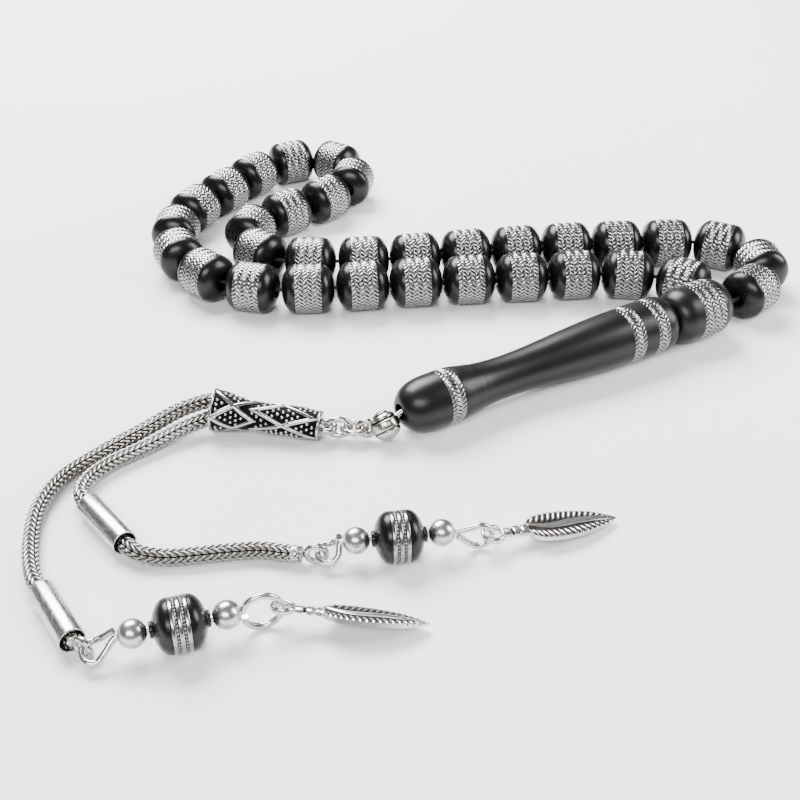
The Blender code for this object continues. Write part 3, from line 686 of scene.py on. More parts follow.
# %% Outlines of the leader
LEADER_OUTLINE = [
    (0.0, 1.75), (0.5, 2.45), (1.5, 3.25), (3.0, 3.8), (5.0, 4.02), (8.8, 4.0), (11.0, 3.62),
    (14.0, 3.2), (17.5, 3.08), (22.0, 3.25), (28.0, 3.75), (34.0, 4.18), (38.2, 4.33),
    (46.2, 4.33), (47.0, 4.1), (47.6, 3.6), (48.0, 2.9),
]
HEAD_OUTLINE = [
    (48.3, 2.9), (48.6, 3.4), (49.1, 3.9), (50.2, 4.35), (52.0, 4.48), (56.8, 4.48), (57.9, 4.1),
    (58.9, 3.4), (59.5, 2.6),
]
LEADER_BANDS = {"lower": (6.3, 8.6), "middle": (38.5, 40.7), "upper": (43.1, 45.3)}
HEAD_BAND = (52.3, 56.6)
LEADER_BORE = 1.25
MOUTH_RADIUS = 2.0
MOUTH_DEPTH = 2.8
SEAM_PLACE = 12.6
SEAM_DEPTH = 0.035


def smooth_outline(outline, step=0.25):
    """The outline as a dense table of distances and radii."""
    line = smooth_route([(distance, radius, 0.0) for distance, radius in outline], parts=16)
    distances = np.arange(outline[0][0], outline[-1][0] + step / 2, step)
    return distances, np.interp(distances, line[:, 0], line[:, 1])


def grooved(distances, radii, seats, depth=0.36):
    """The outline with a straight-sided seat for each band."""
    table = [(d, r) for d, r in zip(distances, radii)
             if not any(low <= d <= high for low, high in seats)]
    for low, high in seats:
        for place, drop in ((low, 0.0), (low + 0.001, depth), (high - 0.001, depth), (high, 0.0)):
            table.append((place, float(np.interp(place, distances, radii)) - drop))
    return sorted(table)


# %% Turn the leader and its head
leader_place = standing_on(joint_place("tassel_ball_swing"), joint_axis("leader_head_turn"))
leader_finish = black_stone("leader_black_stone", 3.0 * MM, 0.33)


def turn_on_leader(name, outline, seats, bore):
    """A turned piece on the leader's axis. Distances are in millimetres from the leader's tip."""
    distances, radii = smooth_outline(outline)
    radii = radii - SEAM_DEPTH * np.exp(-((distances - SEAM_PLACE) / 0.12) ** 2)
    outer = [(radius * MM, distance * MM) for distance, radius in grooved(distances, radii, seats)]
    inner = [(radius * MM, distance * MM) for radius, distance in bore]
    piece = skin(name, lathe_rings(outer + inner, around=96), loop=True)
    piece.matrix_world = leader_place
    return piece


leader_bore = [(LEADER_BORE, LEADER_OUTLINE[-1][0]), (LEADER_BORE, 0.0)]
leader_stone = turn_on_leader("leader_stone", LEADER_OUTLINE, LEADER_BANDS.values(), leader_bore)
dress(leader_stone, "leader", leader_finish, ["leader_body"])
mouth_floor = HEAD_OUTLINE[-1][0] - MOUTH_DEPTH
head_bore = [(MOUTH_RADIUS, HEAD_OUTLINE[-1][0]), (MOUTH_RADIUS, mouth_floor),
             (LEADER_BORE, mouth_floor), (LEADER_BORE, HEAD_OUTLINE[0][0])]
head_stone = turn_on_leader("leader_head_stone", HEAD_OUTLINE, [HEAD_BAND], head_bore)
dress(head_stone, "leader_head", leader_finish, ["leader_head"])


# %% Bands of the leader
def band_on_leader(name, outline, ends, columns, body, stands_for):
    """A braided band in one of the leader's seats."""
    distances, radii = smooth_outline(outline)
    proud = BAND_PROUD / MM
    edge = [(float(np.interp(end, distances, radii)) + proud, end) for end in reversed(ends)]
    edge = [(radius * MM, distance * MM) for radius, distance in edge]
    rings, pit = braided_band_rings(edge, columns, grains=38, thickness=0.3 * MM)
    band = skin(name, rings, loop=True, pit=pit)
    band.matrix_world = leader_place
    dress(band, body, silver_band_finish, [stands_for])


for place_name, ends in LEADER_BANDS.items():
    inset = (ends[0] + 0.02, ends[1] - 0.02)
    band_on_leader(f"braid_{place_name}", LEADER_OUTLINE, inset, 3, "leader",
                   f"leader_band_{place_name}")
head_ends = (HEAD_BAND[0] + 0.02, HEAD_BAND[1] - 0.02)
band_on_leader("braid_head", HEAD_OUTLINE, head_ends, 6, "leader_head", "leader_band_head")
print("leader is", round(HEAD_OUTLINE[-1][0], 1), "mm long")

# %% [markdown]
# ## Bright silver
#
# Wire, balls and ferrules are plain polished silver. A perfect mirror looks like computer chrome,
# so the polish has what handling leaves: patches that are a little duller and hairline scratches
# that run along the piece.

# %% Finish of bright silver
def bright_silver(name, polish, scratch_stretch):
    """Polished silver with dull patches and hairline scratches."""
    finish = Finish(name, metallic=1.0)
    patches = finish.noise(1.2 * MM, detail=4.0)
    finish.colour(finish.ramp(patches, [(0.3, (0.42, 0.405, 0.39)), (0.65, (0.6, 0.585, 0.57))]))
    hairlines = finish.noise(0.22 * MM, detail=6.0, stretch=scratch_stretch)
    finish.roughness(finish.between(hairlines, polish, polish + 0.16, 0.35, 0.7))
    finish.bump(hairlines, 0.002 * MM)
    return finish.material


wire_finish = bright_silver("bright_silver_wire", 0.16, (1.0, 1.0, 1.0))
ball_finish = bright_silver("satin_silver_balls", 0.2, (1.0, 1.0, 4.0))
ferrule_finish = bright_silver("ferrule_silver", 0.2, (1.0, 1.0, 0.25))

# %% [markdown]
# ## Wire rings
#
# Rings, eyes and links are wire bent round an oval. Bent wire keeps small flats from the pliers,
# so the round section gets a gentle ripple that winds along it, which also catches the light the
# way the hand-made links do.

# %% Wire along a line
def bent_wire(name, line, radius, closed, ripple=0.05, winds=6):
    """A round wire whose flats wind slowly along it."""
    around = 16
    share = np.linspace(0.0, 1.0, len(line), endpoint=not closed)[:, None]
    ripples = np.cos(2 * angles_round(around)[None, :] + 2 * math.pi * winds * share)
    rings = tube_rings(line, radius * (1 - ripple / 2 + ripple * ripples / 2), around, closed=closed)
    return skin(name, rings, loop=closed)


def oval_line(middle, along, across, length, width, parts=72):
    """Points round an oval of wire, from its middle, two directions and two sizes."""
    angles = angles_round(parts)[:, None]
    return (np.array(middle) + np.array(along) * np.cos(angles) * length / 2
            + np.array(across) * np.sin(angles) * width / 2)


def joined(name, pieces):
    """Several pieces as one object, keeping each surface where it is."""
    mesh = bmesh.new()
    for piece in pieces:
        piece.data.transform(piece.matrix_basis)
        mesh.from_mesh(piece.data)
    data = bpy.data.meshes.new(name)
    mesh.to_mesh(data)
    mesh.free()
    for piece in pieces:
        bpy.data.objects.remove(piece)
    return show(name, data)


# %% [markdown]
# ## Granulation
#
# Granules are tiny silver balls soldered to a dark ground. Each is half of a small sphere here,
# sunk a little into the surface, and all the granules of one piece are one mesh.

# %% Granules
UPRIGHT = Vector((0.0, 0.0, 1.0))


def granules(name, places, outwards, radius):
    """Small half spheres at these places, standing along these outward directions."""
    cloud = bmesh.new()
    for place, outward in zip(places, outwards):
        turn = Vector(outward).to_track_quat("Z", "Y").to_matrix().to_4x4()
        matrix = Matrix.Translation(Vector(place)) @ turn
        bmesh.ops.create_uvsphere(cloud, u_segments=10, v_segments=6, radius=radius, matrix=matrix)
    mesh = bpy.data.meshes.new(name)
    cloud.to_mesh(mesh)
    cloud.free()
    values = mesh.attributes.new("pit", "FLOAT", "POINT")
    values.data.foreach_set("value", np.zeros(len(mesh.vertices), np.float32))
    mesh.shade_smooth()
    return show(name, mesh)


# %% [markdown]
# ## Tassel ball
#
# Below the leader's tip is a small cast ball. A strap crosses it at a slant and carries three
# granules, and blackened grooves part it from the rest of the ball. The relief is a height over
# the sphere: distance along the strap's axis decides what is groove and what is polished.

# %% Cast ball with its strap
BALL_MIDDLE = on_table((-2.05, -4.2, 2.6))
BALL_RADIUS = 2.1 * MM
STRAP_AXIS = Vector((-0.44, 0.51, 0.74)).normalized()
STRAP_GROOVES = ((0.4, 0.09), (0.8, 0.05), (-0.37, 0.055))   # place on the axis, half width
LINK_WIRE = 0.475 * MM
EYE_RADIUS = 1.15 * MM

cast_ball_finish = tarnished_silver("cast_silver_ball", (0.5, 0.475, 0.45),
                                    (0.006, 0.005, 0.005), 0.2)
tassel_run = (joint_place("end_tube_swing") - joint_place("link_1_swing")).normalized()


def strap_relief(points):
    """Height and pit over the ball from each point's place along the strap's axis."""
    level = points @ np.array(STRAP_AXIS)
    pit = np.zeros(level.shape)
    for middle, half_width in STRAP_GROOVES:
        pit = np.maximum(pit, np.exp(-((level - middle) / half_width) ** 4))
    return 1 - pit, pit


def make_tassel_ball():
    """The ball, its granules, its shank into the leader and its eye for the first link."""
    polar = np.linspace(0.02, math.pi - 0.02, 60)
    rings = lathe_rings([(math.sin(a), math.cos(a)) for a in polar], 96)
    raised, pit = strap_relief(rings)
    radius = BALL_RADIUS * (0.95 + 0.07 * raised)
    ball = skin("ball_body", np.array(BALL_MIDDLE) + rings * radius[:, :, None], pit=pit)
    leader_tip = joint_place("tassel_ball_swing") + joint_axis("leader_head_turn") * 0.5 * MM
    stem = spaced_evenly(np.array([BALL_MIDDLE, leader_tip]), 0.4 * MM)
    shank = skin("shank", tube_rings(stem, np.full((len(stem), 16), LINK_WIRE), 16))
    eye_middle = joint_place("link_1_swing") - tassel_run * EYE_RADIUS
    eye = bent_wire("eye", oval_line(eye_middle, tassel_run, UPRIGHT, 2 * EYE_RADIUS, 2 * EYE_RADIUS),
                    LINK_WIRE, closed=True)
    whole = joined("cast_tassel_ball", [ball, shank, eye])
    dress(whole, "tassel_ball", cast_ball_finish, ["tassel_ball"])
    front = Vector((-0.1, -0.85, 0.5))
    side = STRAP_AXIS.cross(front).normalized()
    facing = side.cross(STRAP_AXIS).normalized()
    outwards = [facing * math.cos(angle) + side * math.sin(angle) for angle in (-0.45, -0.02, 0.41)]
    places = [BALL_MIDDLE + outward * BALL_RADIUS * 0.98 for outward in outwards]
    dots = granules("ball_granules", places, outwards, 0.27 * MM)
    dress(dots, "tassel_ball", cast_ball_finish)


make_tassel_ball()

# %% [markdown]
# ## Links
#
# Two oval links join the ball to the end tube, the first lying flat and the second on edge, so
# that the tassel can swing every way. Each is placed from the joint it pulls on.

# %% Links
LINK_LENGTH = 3.3 * MM
LINK_WIDTH = 2.7 * MM
WIRE_PITCH = 1.1 * MM


def make_links():
    """The flat link and the upright link."""
    flat = UPRIGHT.cross(tassel_run)
    middles = {
        "link_1": joint_place("link_1_swing") + tassel_run * (LINK_LENGTH / 2 - WIRE_PITCH),
        "link_2": joint_place("link_2_swing") + tassel_run * LINK_LENGTH / 2,
    }
    for name, across in (("link_1", flat), ("link_2", UPRIGHT)):
        line = oval_line(middles[name], tassel_run, across, LINK_LENGTH, LINK_WIDTH)
        link = bent_wire(f"{name}_wire", line, LINK_WIRE, closed=True, ripple=0.12, winds=10)
        dress(link, name, wire_finish, [name])
    print("links are", round(LINK_LENGTH / MM, 1), "mm between wire middles")


make_links()

# %% [markdown]
# ## End tube
#
# The end tube gathers the two chains. It is cast with raised lines that form a row of lozenges on
# the shaft and a row of smaller ones at the flared mouth, a plain rim at each end, and granules
# on a blackened ground. Wrapping the tube's surface flat gives each point a distance along the
# tube and an angle round it. On that flat map a lozenge is a simple sum of two distances, so the
# raised lines are a formula.

# %% Relief of the end tube
TUBE_CLOSED_END = on_table((-11.0, -3.7, 2.15))
TUBE_MOUTH = on_table((-26.4, -1.1, 3.15))
TUBE_OUTLINE = [(0.0, 2.15), (3.2, 2.25), (6.0, 2.3), (9.5, 2.2), (12.0, 2.5), (15.65, 3.15)]
TUBE_BORE_DEPTH = 3.4
TUBE_BORE_RADIUS = 2.62
LOZENGES = [(5.2, 4.3, 0.65), (12.3, 2.9, 0.15)]   # middle, half length in mm, shift in quarters
LINE_HALF_WIDTH = 0.34
LINE_HEIGHT = 0.26
RIM_WIDTH = 0.5


def lozenge_distance(distance, angle):
    """Distance in millimetres on the tube's surface to the nearest raised line."""
    nearest = np.full(np.broadcast(distance, angle).shape, 9.0)
    for middle, half_length, shift in LOZENGES:
        quarter = np.mod(angle / (math.pi / 2) + 0.5 - shift, 1.0) - 0.5
        share = np.abs(distance - middle) / half_length + np.abs(quarter) * 2
        scale = half_length / math.hypot(1.0, half_length / 1.8)
        nearest = np.minimum(nearest, np.abs(share - 1) * scale)
    return nearest


def tube_relief(distance, angle):
    """Height from 0 on the ground to 1 on a raised line or a rim."""
    line = np.clip(1 - (lozenge_distance(distance, angle) / LINE_HALF_WIDTH) ** 2, 0.0, 1.0) ** 0.5
    length = TUBE_OUTLINE[-1][0]
    from_end = np.minimum(distance, length - distance)
    rim = np.clip(1 - (from_end - RIM_WIDTH / 2) ** 2 / (RIM_WIDTH / 2) ** 2, 0.0, 1.0) ** 0.5
    return np.maximum(line, rim)


# %% Cast the end tube
tube_finish = tarnished_silver("oxidised_cast_silver", (0.5, 0.485, 0.475),
                               (0.003, 0.003, 0.003), 0.2)
tube_place = standing_on(TUBE_CLOSED_END, TUBE_MOUTH - TUBE_CLOSED_END)


def make_end_tube():
    """The cast tube with its raised lines, and the eye on its closed end."""
    length = TUBE_OUTLINE[-1][0]
    distances = np.linspace(0.0, length, 190)
    line = smooth_route([(d, r, 0.0) for d, r in TUBE_OUTLINE], parts=16)
    radii = np.interp(distances, line[:, 0], line[:, 1])
    around = 120
    height = tube_relief(distances[:, None], angles_round(around)[None, :])
    outer = lathe_rings(list(zip(radii - LINE_HEIGHT, distances)), around)
    outer[:, :, :2] *= (1 + LINE_HEIGHT * height / (radii - LINE_HEIGHT)[:, None])[:, :, None]
    floor = length - TUBE_BORE_DEPTH
    inner = lathe_rings([(TUBE_BORE_RADIUS, length), (TUBE_BORE_RADIUS, length - 1.4),
                         (TUBE_BORE_RADIUS - 0.6, floor), (0.05, floor)], around)
    cap = lathe_rings([(0.05, 0.0), (1.2, -0.05), (1.75, 0.0)], around)
    pits = np.concatenate([np.full((3, around), 0.2), 1 - height, np.ones((4, around))])
    body = skin("tube_body", np.concatenate([cap, outer, inner]) * MM, pit=pits)
    body.matrix_world = tube_place
    bpy.context.view_layer.update()
    flat = UPRIGHT.cross(tassel_run)
    eye_middle = joint_place("end_tube_swing") + tassel_run * (EYE_RADIUS - WIRE_PITCH)
    eye = bent_wire("eye", oval_line(eye_middle, tassel_run, flat, 2 * EYE_RADIUS, 2 * EYE_RADIUS),
                    LINK_WIRE, closed=True)
    whole = joined("cast_end_tube", [body, eye])
    dress(whole, "end_tube", tube_finish, ["end_tube"])
    return distances, radii


tube_distances, tube_radii = make_end_tube()


# %% Granules on the end tube
def granulate_tube(spacing=0.72, clear=0.5, radius=0.25):
    """Rows of granules wherever the ground between the raised lines has room."""
    places, outwards = [], []
    row_places = np.arange(1.0, TUBE_OUTLINE[-1][0] - 0.9, spacing)
    for row, distance in enumerate(row_places):
        ground = float(np.interp(distance, tube_distances, tube_radii)) - LINE_HEIGHT
        count = 4 * round(2 * math.pi * ground / spacing / 4)
        for step in range(count):
            angle = 2 * math.pi * (step + 0.5 * (row % 2)) / count
            if float(lozenge_distance(distance, angle)) < clear:
                continue
            outward = Vector((math.cos(angle), math.sin(angle), 0.0))
            places.append((outward * ground + Vector((0.0, 0.0, distance))) * MM)
            outwards.append(outward)
    dots = granules("tube_granules", places, outwards, radius * MM)
    dots.matrix_world = tube_place
    dress(dots, "end_tube", tube_finish)
    print("end tube carries", len(places), "granules")


granulate_tube()

# %% [markdown]
# ## Ferrules and chain ends
#
# A plain tube slides on each chain. Its lips are rounded a little, because a sharp tube end would
# cut the chain. At its far end each chain is closed by a small collar that holds the end ring.

# %% Ferrules
FERRULE_RADIUS = 1.65
FERRULE_BORE = 1.42
FERRULE_LENGTH = 9.7


def make_ferrule(number):
    """One sliding tube, placed where the engineering model has it."""
    low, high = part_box(f"ferrule_{number}")
    half = FERRULE_LENGTH / 2
    wall = (FERRULE_RADIUS - FERRULE_BORE) / 2
    lip = [(FERRULE_RADIUS - wall + wall * math.cos(a), half - wall + wall * math.sin(a))
           for a in np.linspace(math.pi, 0.0, 9)]
    profile = [(radius * MM, height * MM) for radius, height in both_sides(lip)]
    ferrule = skin(f"sliding_ferrule_{number}", lathe_rings(profile, around=72), loop=True)
    axis = joint_axis(f"ferrule_{number}_slide")
    ferrule.matrix_world = standing_on((low + high) / 2, axis)
    dress(ferrule, f"ferrule_{number}", ferrule_finish, [f"ferrule_{number}"])


# %% Collar and ring at each chain's end
RING_RADIUS = 1.2 * MM
WIRE_RADIUS = 0.41 * MM


def make_chain_end(number):
    """The collar that closes the chain and the ring soldered to it."""
    line = chain_line(number)
    end, before = Vector(line[-1]), Vector(line[-12])
    collar_line = np.array([before, before.lerp(end, 0.5), end, end + (end - before) * 0.28])
    share = np.array([1.12, 1.16, 1.0, 0.45])[:, None]
    collar = skin(f"collar_{number}", tube_rings(spaced_evenly(collar_line, 0.45 * MM)[:4],
                                                 0.88 * MM * share, 24))
    joint = joint_place(f"pin_{number}_swing")
    along = Vector((joint.x - end.x, joint.y - end.y, 0.0)).normalized()
    ring_line = oval_line(joint - along * RING_RADIUS, along, UPRIGHT, 2 * RING_RADIUS, 2 * RING_RADIUS)
    ring = bent_wire(f"end_ring_wire_{number}", ring_line, WIRE_RADIUS, closed=True)
    dress(ring, f"chain_{number}", wire_finish, [f"end_ring_{number}"])
    dress(collar, f"chain_{number}", collar_finish)


collar_finish = bright_silver("collar_silver", 0.3, (1.0, 1.0, 1.0))
for chain_number in CHAIN_ROUTES:
    make_ferrule(chain_number)
    make_chain_end(chain_number)

# %% [markdown]
# ## Drops
#
# Each drop hangs on one length of wire: an eye round the chain's ring, a straight shank through a
# silver ball, a black banded bead and another ball, and then a large loop for the feather. The
# wire is one piece, bent after threading, so it is one smooth line here too.

# %% The pin's wire
DROPS = {
    1: {"reach": 10.0, "loop": 2.3, "opening": 150.0},
    2: {"reach": 9.0, "loop": 1.6, "opening": 120.0},
}
PIN_OUTER_PLACE = 11.6
PIN_EYE_WIDTH = 1.45
PIN_EYE_LEAN = math.radians(12.0)


def pin_line(number):
    """The middle of a drop's wire, from its eye through the beads to its loop."""
    middle = joint_place(f"drop_bead_{number}_turn")
    along = joint_axis(f"drop_bead_{number}_turn")
    side = UPRIGHT.cross(along)
    low = (joint_place(f"pin_{number}_swing").z - middle.z) / MM
    reach, radius = DROPS[number]["reach"], DROPS[number]["loop"]

    def spot(distance, sideways, rise):
        lean = UPRIGHT * (rise + sideways * math.sin(PIN_EYE_LEAN))
        return middle + (along * distance + side * sideways * math.cos(PIN_EYE_LEAN) + lean) * MM

    points = [spot(-7.3, 0.85, 0.0), spot(1.4 - reach, 1.2, low * 0.65),
              spot(0.5 - reach, PIN_EYE_WIDTH, low)]
    for degrees in range(20, 161, 28):
        angle = math.radians(degrees)
        points.append(spot(0.1 - reach - 1.15 * math.sin(angle), PIN_EYE_WIDTH * math.cos(angle), low))
    points += [spot(0.5 - reach, -PIN_EYE_WIDTH, low), spot(1.4 - reach, -1.0, low * 0.65),
               spot(-7.3, -0.1, low * 0.1), spot(-6.6, 0.0, 0.0), spot(6.9, 0.0, 0.0)]
    centre = PIN_OUTER_PLACE - radius
    rise = (joint_place(f"feather_{number}_swing").z - middle.z) / MM
    for share in np.linspace(1.0, -1.0, 12):
        angle = math.radians(DROPS[number]["opening"] * share)
        points.append(spot(centre + radius * math.cos(angle), 0.0, rise + radius * math.sin(angle)))
    points.append(spot(7.35, 0.0, -0.85))
    return spaced_evenly(smooth_route(points, parts=8), 0.15 * MM)


# %% Silver balls of the drops
DROP_BALL_RADIUS = 1.7 * MM
DROP_BORE = 0.5 * MM
DROP_BALL_PLACE = 5.3 * MM


def make_ball(number, side):
    """A polished bored ball on a drop's wire."""
    joint = f"drop_ball_{number}_{side}_turn"
    top = math.acos(DROP_BORE / DROP_BALL_RADIUS)
    angles = np.linspace(top, -top, 40)
    profile = [(DROP_BALL_RADIUS * math.cos(a), DROP_BALL_RADIUS * math.sin(a)) for a in angles]
    ball = skin(f"silver_ball_{number}_{side}", lathe_rings(profile), loop=True)
    ball.matrix_world = standing_on(joint_place(joint), joint_axis(joint))
    node = f"drop_ball_{number}_{side}"
    dress(ball, node, ball_finish, [node])


# %% [markdown]
# The drop's bead is smaller and rounder than the beads of the loop, with a small collar at each
# end. Its band is different too: three smooth hoops with a twisted wire lying in each of the two
# grooves between them.

# %% Banded bead of a drop
DROP_BEAD_RADIUS = 3.25
DROP_BEAD_HALF = 3.45
DROP_BELT = 1.15
TWISTS = 44
TWIST_POINTS = TWISTS * 5


def hoop_height(across, turn):
    """Height of the drop's band: three hoops and two twisted wires between them."""
    hoops = np.zeros(np.broadcast(across, turn).shape)
    for middle in (0.13, 0.5, 0.87):
        hoops = np.maximum(hoops, np.clip(1 - ((across - middle) / 0.13) ** 4, 0.0, 1.0))
    for middle in (0.315, 0.685):
        beads = 0.5 + 0.5 * np.cos(2 * math.pi * TWISTS * turn + 9.0 * (across - middle))
        wire = np.clip(1 - ((across - middle) / 0.07) ** 2, 0.0, 1.0) * (0.25 + 0.6 * beads)
        hoops = np.maximum(hoops, wire)
    return hoops


def make_drop_bead(number):
    """Stone and hooped band of one drop."""
    collar = [(DROP_BORE / MM, 3.4), (0.85, DROP_BEAD_HALF), (1.0, 3.38), (0.98, 3.2), (1.05, 3.06)]
    dome = dome_profile(DROP_BEAD_RADIUS, DROP_BELT, 1.25, 2.97)
    upper = collar + dome + [(DROP_BEAD_RADIUS - 0.3, DROP_BELT - 0.02)]
    profile = [(radius * MM, height * MM) for radius, height in both_sides(upper)]
    joint, node = f"drop_bead_{number}_turn", f"drop_bead_{number}"
    place = standing_on(joint_place(joint), joint_axis(joint))
    stone = skin(f"{node}_stone", lathe_rings(profile, around=80), loop=True)
    stone.matrix_world = place
    dress(stone, node, bead_stone_finish, [node])
    across = np.linspace(0.0, 1.0, 41)[:, None]
    turn = np.linspace(0.0, 1.0, TWIST_POINTS, endpoint=False)[None, :]
    height = hoop_height(across, turn)
    outer_radius = (DROP_BEAD_RADIUS + 0.03) * MM
    heights = (across[:, 0] - 0.5) * 2 * DROP_BELT * MM
    outer = lathe_rings([(outer_radius, h) for h in heights], TWIST_POINTS)
    outer[:, :, :2] *= (1 - 0.16 * MM * (1 - height) / outer_radius)[:, :, None]
    inner_radius = outer_radius - 0.3 * MM
    inner = lathe_rings([(inner_radius, heights[0]), (inner_radius, heights[-1])], TWIST_POINTS)
    edge = np.ones((1, TWIST_POINTS))
    band = skin(f"{node}_band", np.concatenate([inner[:1], outer, inner[1:]]), loop=True,
                pit=np.concatenate([edge, 1 - height, edge]))
    band.matrix_world = place
    dress(band, node, silver_band_finish)


# %% Thread the two drops
for number in (1, 2):
    pin = bent_wire(f"drop_pin_{number}", pin_line(number), WIRE_RADIUS, closed=False, ripple=0.04)
    dress(pin, f"pin_{number}", wire_finish, [f"pin_{number}"])
    make_ball(number, "inner")
    make_ball(number, "outer")
    make_drop_bead(number)
    print("drop", number, "wire length", round(route_length(pin_line(number)) / MM, 1), "mm")

# %% [markdown]
# ## Feathers
#
# Each drop ends in a cast silver feather: a round eye, a stem with two raised bands, and a blade
# with a bright rib down its middle and slanted barbs to both edges. The blade is a skin of
# cross-sections, like the other pieces, but each section is flat and its thickness follows the
# relief. The rib leaves the stem near one edge and wanders to the middle, as it does on a real
# feather, which keeps the blade from looking stamped.

# %% Outline and relief of a feather
FEATHER_EYE_MIDDLE = 0.15
FEATHER_RING_RADIUS = 1.3
FEATHER_OUTLINE = [     # distance from the eye's middle and half width, in millimetres
    (1.15, 0.6), (2.1, 0.74), (2.25, 0.76), (2.42, 0.5), (2.6, 0.5), (2.78, 0.78), (3.5, 0.82),
    (3.66, 0.6), (3.8, 0.6), (3.95, 0.86), (4.5, 0.9), (4.8, 1.15), (5.2, 1.62), (6.2, 2.15),
    (8.4, 2.42), (11.0, 2.25), (13.6, 1.66), (15.6, 0.85), (16.6, 0.36), (17.0, 0.05),
]
BLADE_START = 4.9
BLADE_END = 17.0
BARB_PITCH = 0.74
BARB_LEAN = 1.3
FEATHER_THICKNESS = 0.9


def blade_relief(along, across):
    """Thickness share from 0 to 1 and pit over the blade. across goes from -1 to 1."""
    share = np.clip((along - BLADE_START) / (BLADE_END - BLADE_START), 0.0, 1.0)
    rib_middle = 0.1 + 0.45 * np.exp(-share / 0.07) - 0.16 * np.exp(-((share - 0.25) / 0.2) ** 2)
    rib_width = 0.15 + 0.2 * share
    rib = np.exp(-((across - rib_middle) / rib_width) ** 4)
    phase = along / BARB_PITCH - BARB_LEAN * np.abs(across - rib_middle)
    barbs = np.clip(0.35 + 0.75 * np.cos(2 * math.pi * phase), 0.0, 1.0)
    edge = np.clip((np.abs(across - 0.3 * rib_middle) - 0.28) / 0.4, 0.0, 1.0)
    rim = np.clip((np.abs(across) - 0.92) / 0.05, 0.0, 1.0)
    tip = np.clip((share - 0.82) / 0.15, 0.0, 1.0)
    raised = np.maximum(rib, barbs * np.clip(edge + tip, 0.0, 1.0))
    raised = np.maximum(raised, np.maximum(rim, 0.7 * tip))
    return 0.62 + 0.38 * raised, 1 - raised


def stem_relief(along, across):
    """Thickness share and pit over the round stem with its two bands."""
    outline = np.array(FEATHER_OUTLINE)
    half = np.interp(along, outline[:, 0], outline[:, 1])
    pit = np.clip((0.66 - half) / 0.1, 0.0, 1.0)
    thickness = np.clip(half / 0.82, 0.0, 1.0) * np.sqrt(1 - 0.75 * across ** 2)
    return thickness, pit + 0.0 * across


# %% Cast the feathers
def make_feather(number):
    """The eye, stem and blade of one feather, in the place that the engineering model gives it."""
    line = smooth_route([(d, w, 0.0) for d, w in FEATHER_OUTLINE], parts=12)
    along = np.linspace(FEATHER_OUTLINE[0][0], BLADE_END, 200)
    half = np.maximum(np.interp(along, line[:, 0], line[:, 1]), 0.04)
    across = np.linspace(1.0, -1.0, 45)
    blade, blade_pit = blade_relief(along[:, None], across[None, :])
    stem, stem_pit = stem_relief(along[:, None], across[None, :])
    edge_fall = np.clip((1 - np.abs(across)) * 8, 0.0, 1.0) * 0.35 + 0.65
    is_blade = np.clip((along - BLADE_START + 0.4) / 0.5, 0.0, 1.0)[:, None]
    taper = np.clip((BLADE_END + 0.25 - along) / 3.5, 0.0, 1.0)[:, None] ** 0.7
    thickness = (stem * (1 - is_blade) + blade * edge_fall * is_blade) * taper * FEATHER_THICKNESS / 2
    pit = stem_pit * (1 - is_blade) + blade_pit * is_blade
    top = np.stack([np.broadcast_to(along[:, None], pit.shape), half[:, None] * across, thickness], -1)
    bottom = top[:, ::-1] * np.array([1.0, 1.0, -1.0])
    rings = np.concatenate([top, bottom], axis=1) * MM
    body = skin("blade", rings, pit=np.concatenate([pit, pit[:, ::-1]], axis=1))
    flat = angles_round(20)
    section = 1 / np.sqrt((np.cos(flat) / 0.3) ** 2 + (np.sin(flat) / 0.44) ** 2) * MM
    ring = 2 * FEATHER_RING_RADIUS * MM
    eye_line = oval_line((0, 0, 0), (1, 0, 0), (0, 1, 0), ring, ring)
    eye = skin("eye", tube_rings(eye_line, section, 20, closed=True), loop=True)
    whole = joined(f"cast_feather_{number}", [body, eye])
    whole.matrix_world = feather_place(number)
    node = f"feather_{number}"
    dress(whole, node, feather_finish, [node])


FEATHER_TURNS = {       # heading, fall and roll of each feather, in degrees
    1: (-3.0, 6.2, -25.0),
    2: (17.0, 5.0, 0.0),
}


def feather_place(number):
    """Where a feather's eye lies and how the feather is turned."""
    heading, fall, roll = (math.radians(value) for value in FEATHER_TURNS[number])
    turn = (Matrix.Rotation(heading, 4, "Z") @ Matrix.Rotation(fall, 4, "Y")
            @ Matrix.Rotation(roll, 4, "X"))
    offset = Matrix.Translation((FEATHER_EYE_MIDDLE * MM, 0.0, 0.0))
    return Matrix.Translation(joint_place(f"feather_{number}_swing")) @ turn @ offset


feather_finish = tarnished_silver("cast_feather_silver", (0.68, 0.655, 0.63),
                                  (0.012, 0.011, 0.0105), 0.22)
make_feather(1)
make_feather(2)

# %% [markdown]
# ## Table
#
# The string lies on a plain white table. The table is a large plane with a matt white finish, and
# it isn't part of the string. A touch of unevenness in its colour keeps it from being a flat fill.

# %% White table
TABLE_HALF_WIDTH = 1.5


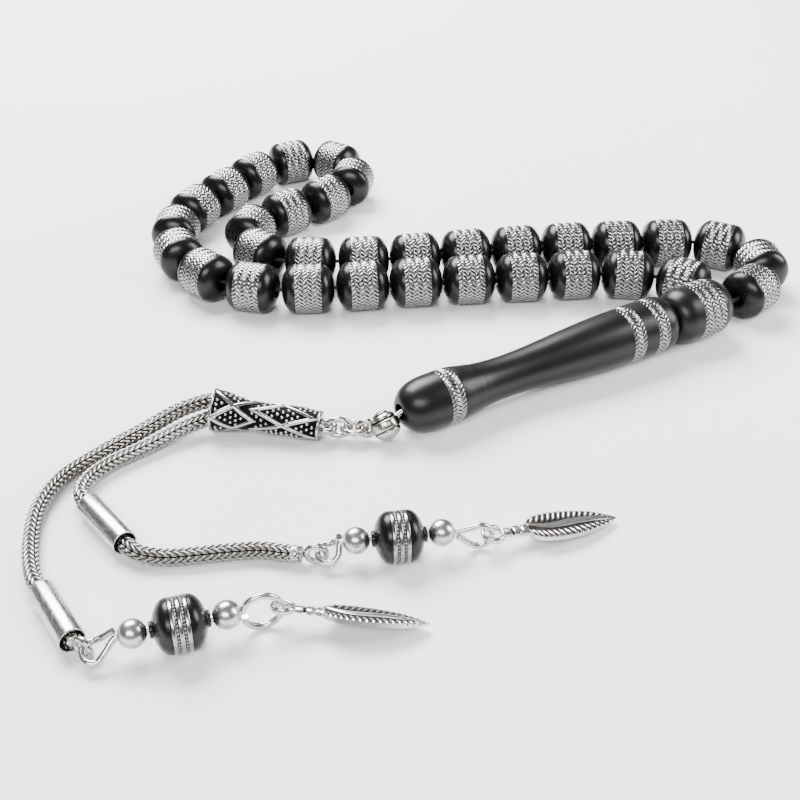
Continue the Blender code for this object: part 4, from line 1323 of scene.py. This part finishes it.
def lay_table():
    """A plain white table that isn't part of the string."""
    table_mesh = bmesh.new()
    bmesh.ops.create_grid(table_mesh, x_segments=1, y_segments=1, size=TABLE_HALF_WIDTH)
    mesh = bpy.data.meshes.new("table")
    table_mesh.to_mesh(mesh)
    table_mesh.free()
    table = show("table", mesh)
    finish = Finish("matt_white_table", metallic=0.0, specular=0.1)
    mottle = finish.noise(0.05)
    finish.colour(finish.ramp(mottle, [(0.3, (0.9, 0.9, 0.9)), (0.7, (0.93, 0.93, 0.93))]))
    finish.roughness(finish.between(mottle, 0.85, 0.95))
    table.data.materials.append(finish.material)
    table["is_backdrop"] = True


lay_table()

# %% [markdown]
# ## Light
#
# Black stone shows only what it reflects, so the lights are large and soft and their shape is
# chosen for the highlight: a wide box above and behind gives each bead one soft grey patch. Silver
# needs something dark to reflect as well, so the surroundings are mid grey and not white.

# %% Softboxes
def softbox(name, place, aim, size, power):
    """A square area light at a place in millimetres, turned towards another place."""
    data = bpy.data.lights.new(name, "AREA")
    data.shape = "RECTANGLE"
    data.size, data.size_y = (value * MM for value in size)
    data.energy = power
    box = bpy.data.objects.new(name, data)
    box.location = Vector(place) * MM
    box.rotation_euler = (Vector(aim) - Vector(place)).to_track_quat("-Z", "Y").to_euler()
    bpy.context.scene.collection.objects.link(box)


softbox("key_softbox", (-180, 330, 420), (0, 10, 0), (420, 320), 13.0)
softbox("front_softbox", (-80, -460, 420), (0, 0, 0), (420, 200), 4.0)
softbox("right_softbox", (440, 20, 260), (20, 0, 0), (200, 300), 3.2)

surroundings = bpy.data.worlds.new("grey_room")
surroundings.use_nodes = True
surroundings.node_tree.nodes["Background"].inputs["Color"].default_value = (0.5, 0.5, 0.5, 1.0)
surroundings.node_tree.nodes["Background"].inputs["Strength"].default_value = 0.5
bpy.context.scene.world = surroundings

# %% [markdown]
# ## Finish
#
# The last cell prints the size of the dressed string beside that of the engineering model.

# %% Measure and finish
dressed_low, dressed_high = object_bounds()
for label, low, high in (("engineering", cad_low, cad_high), ("dressed", dressed_low, dressed_high)):
    print(label, "size in mm:", [round((b - a) / MM, 1) for a, b in zip(low, high)])
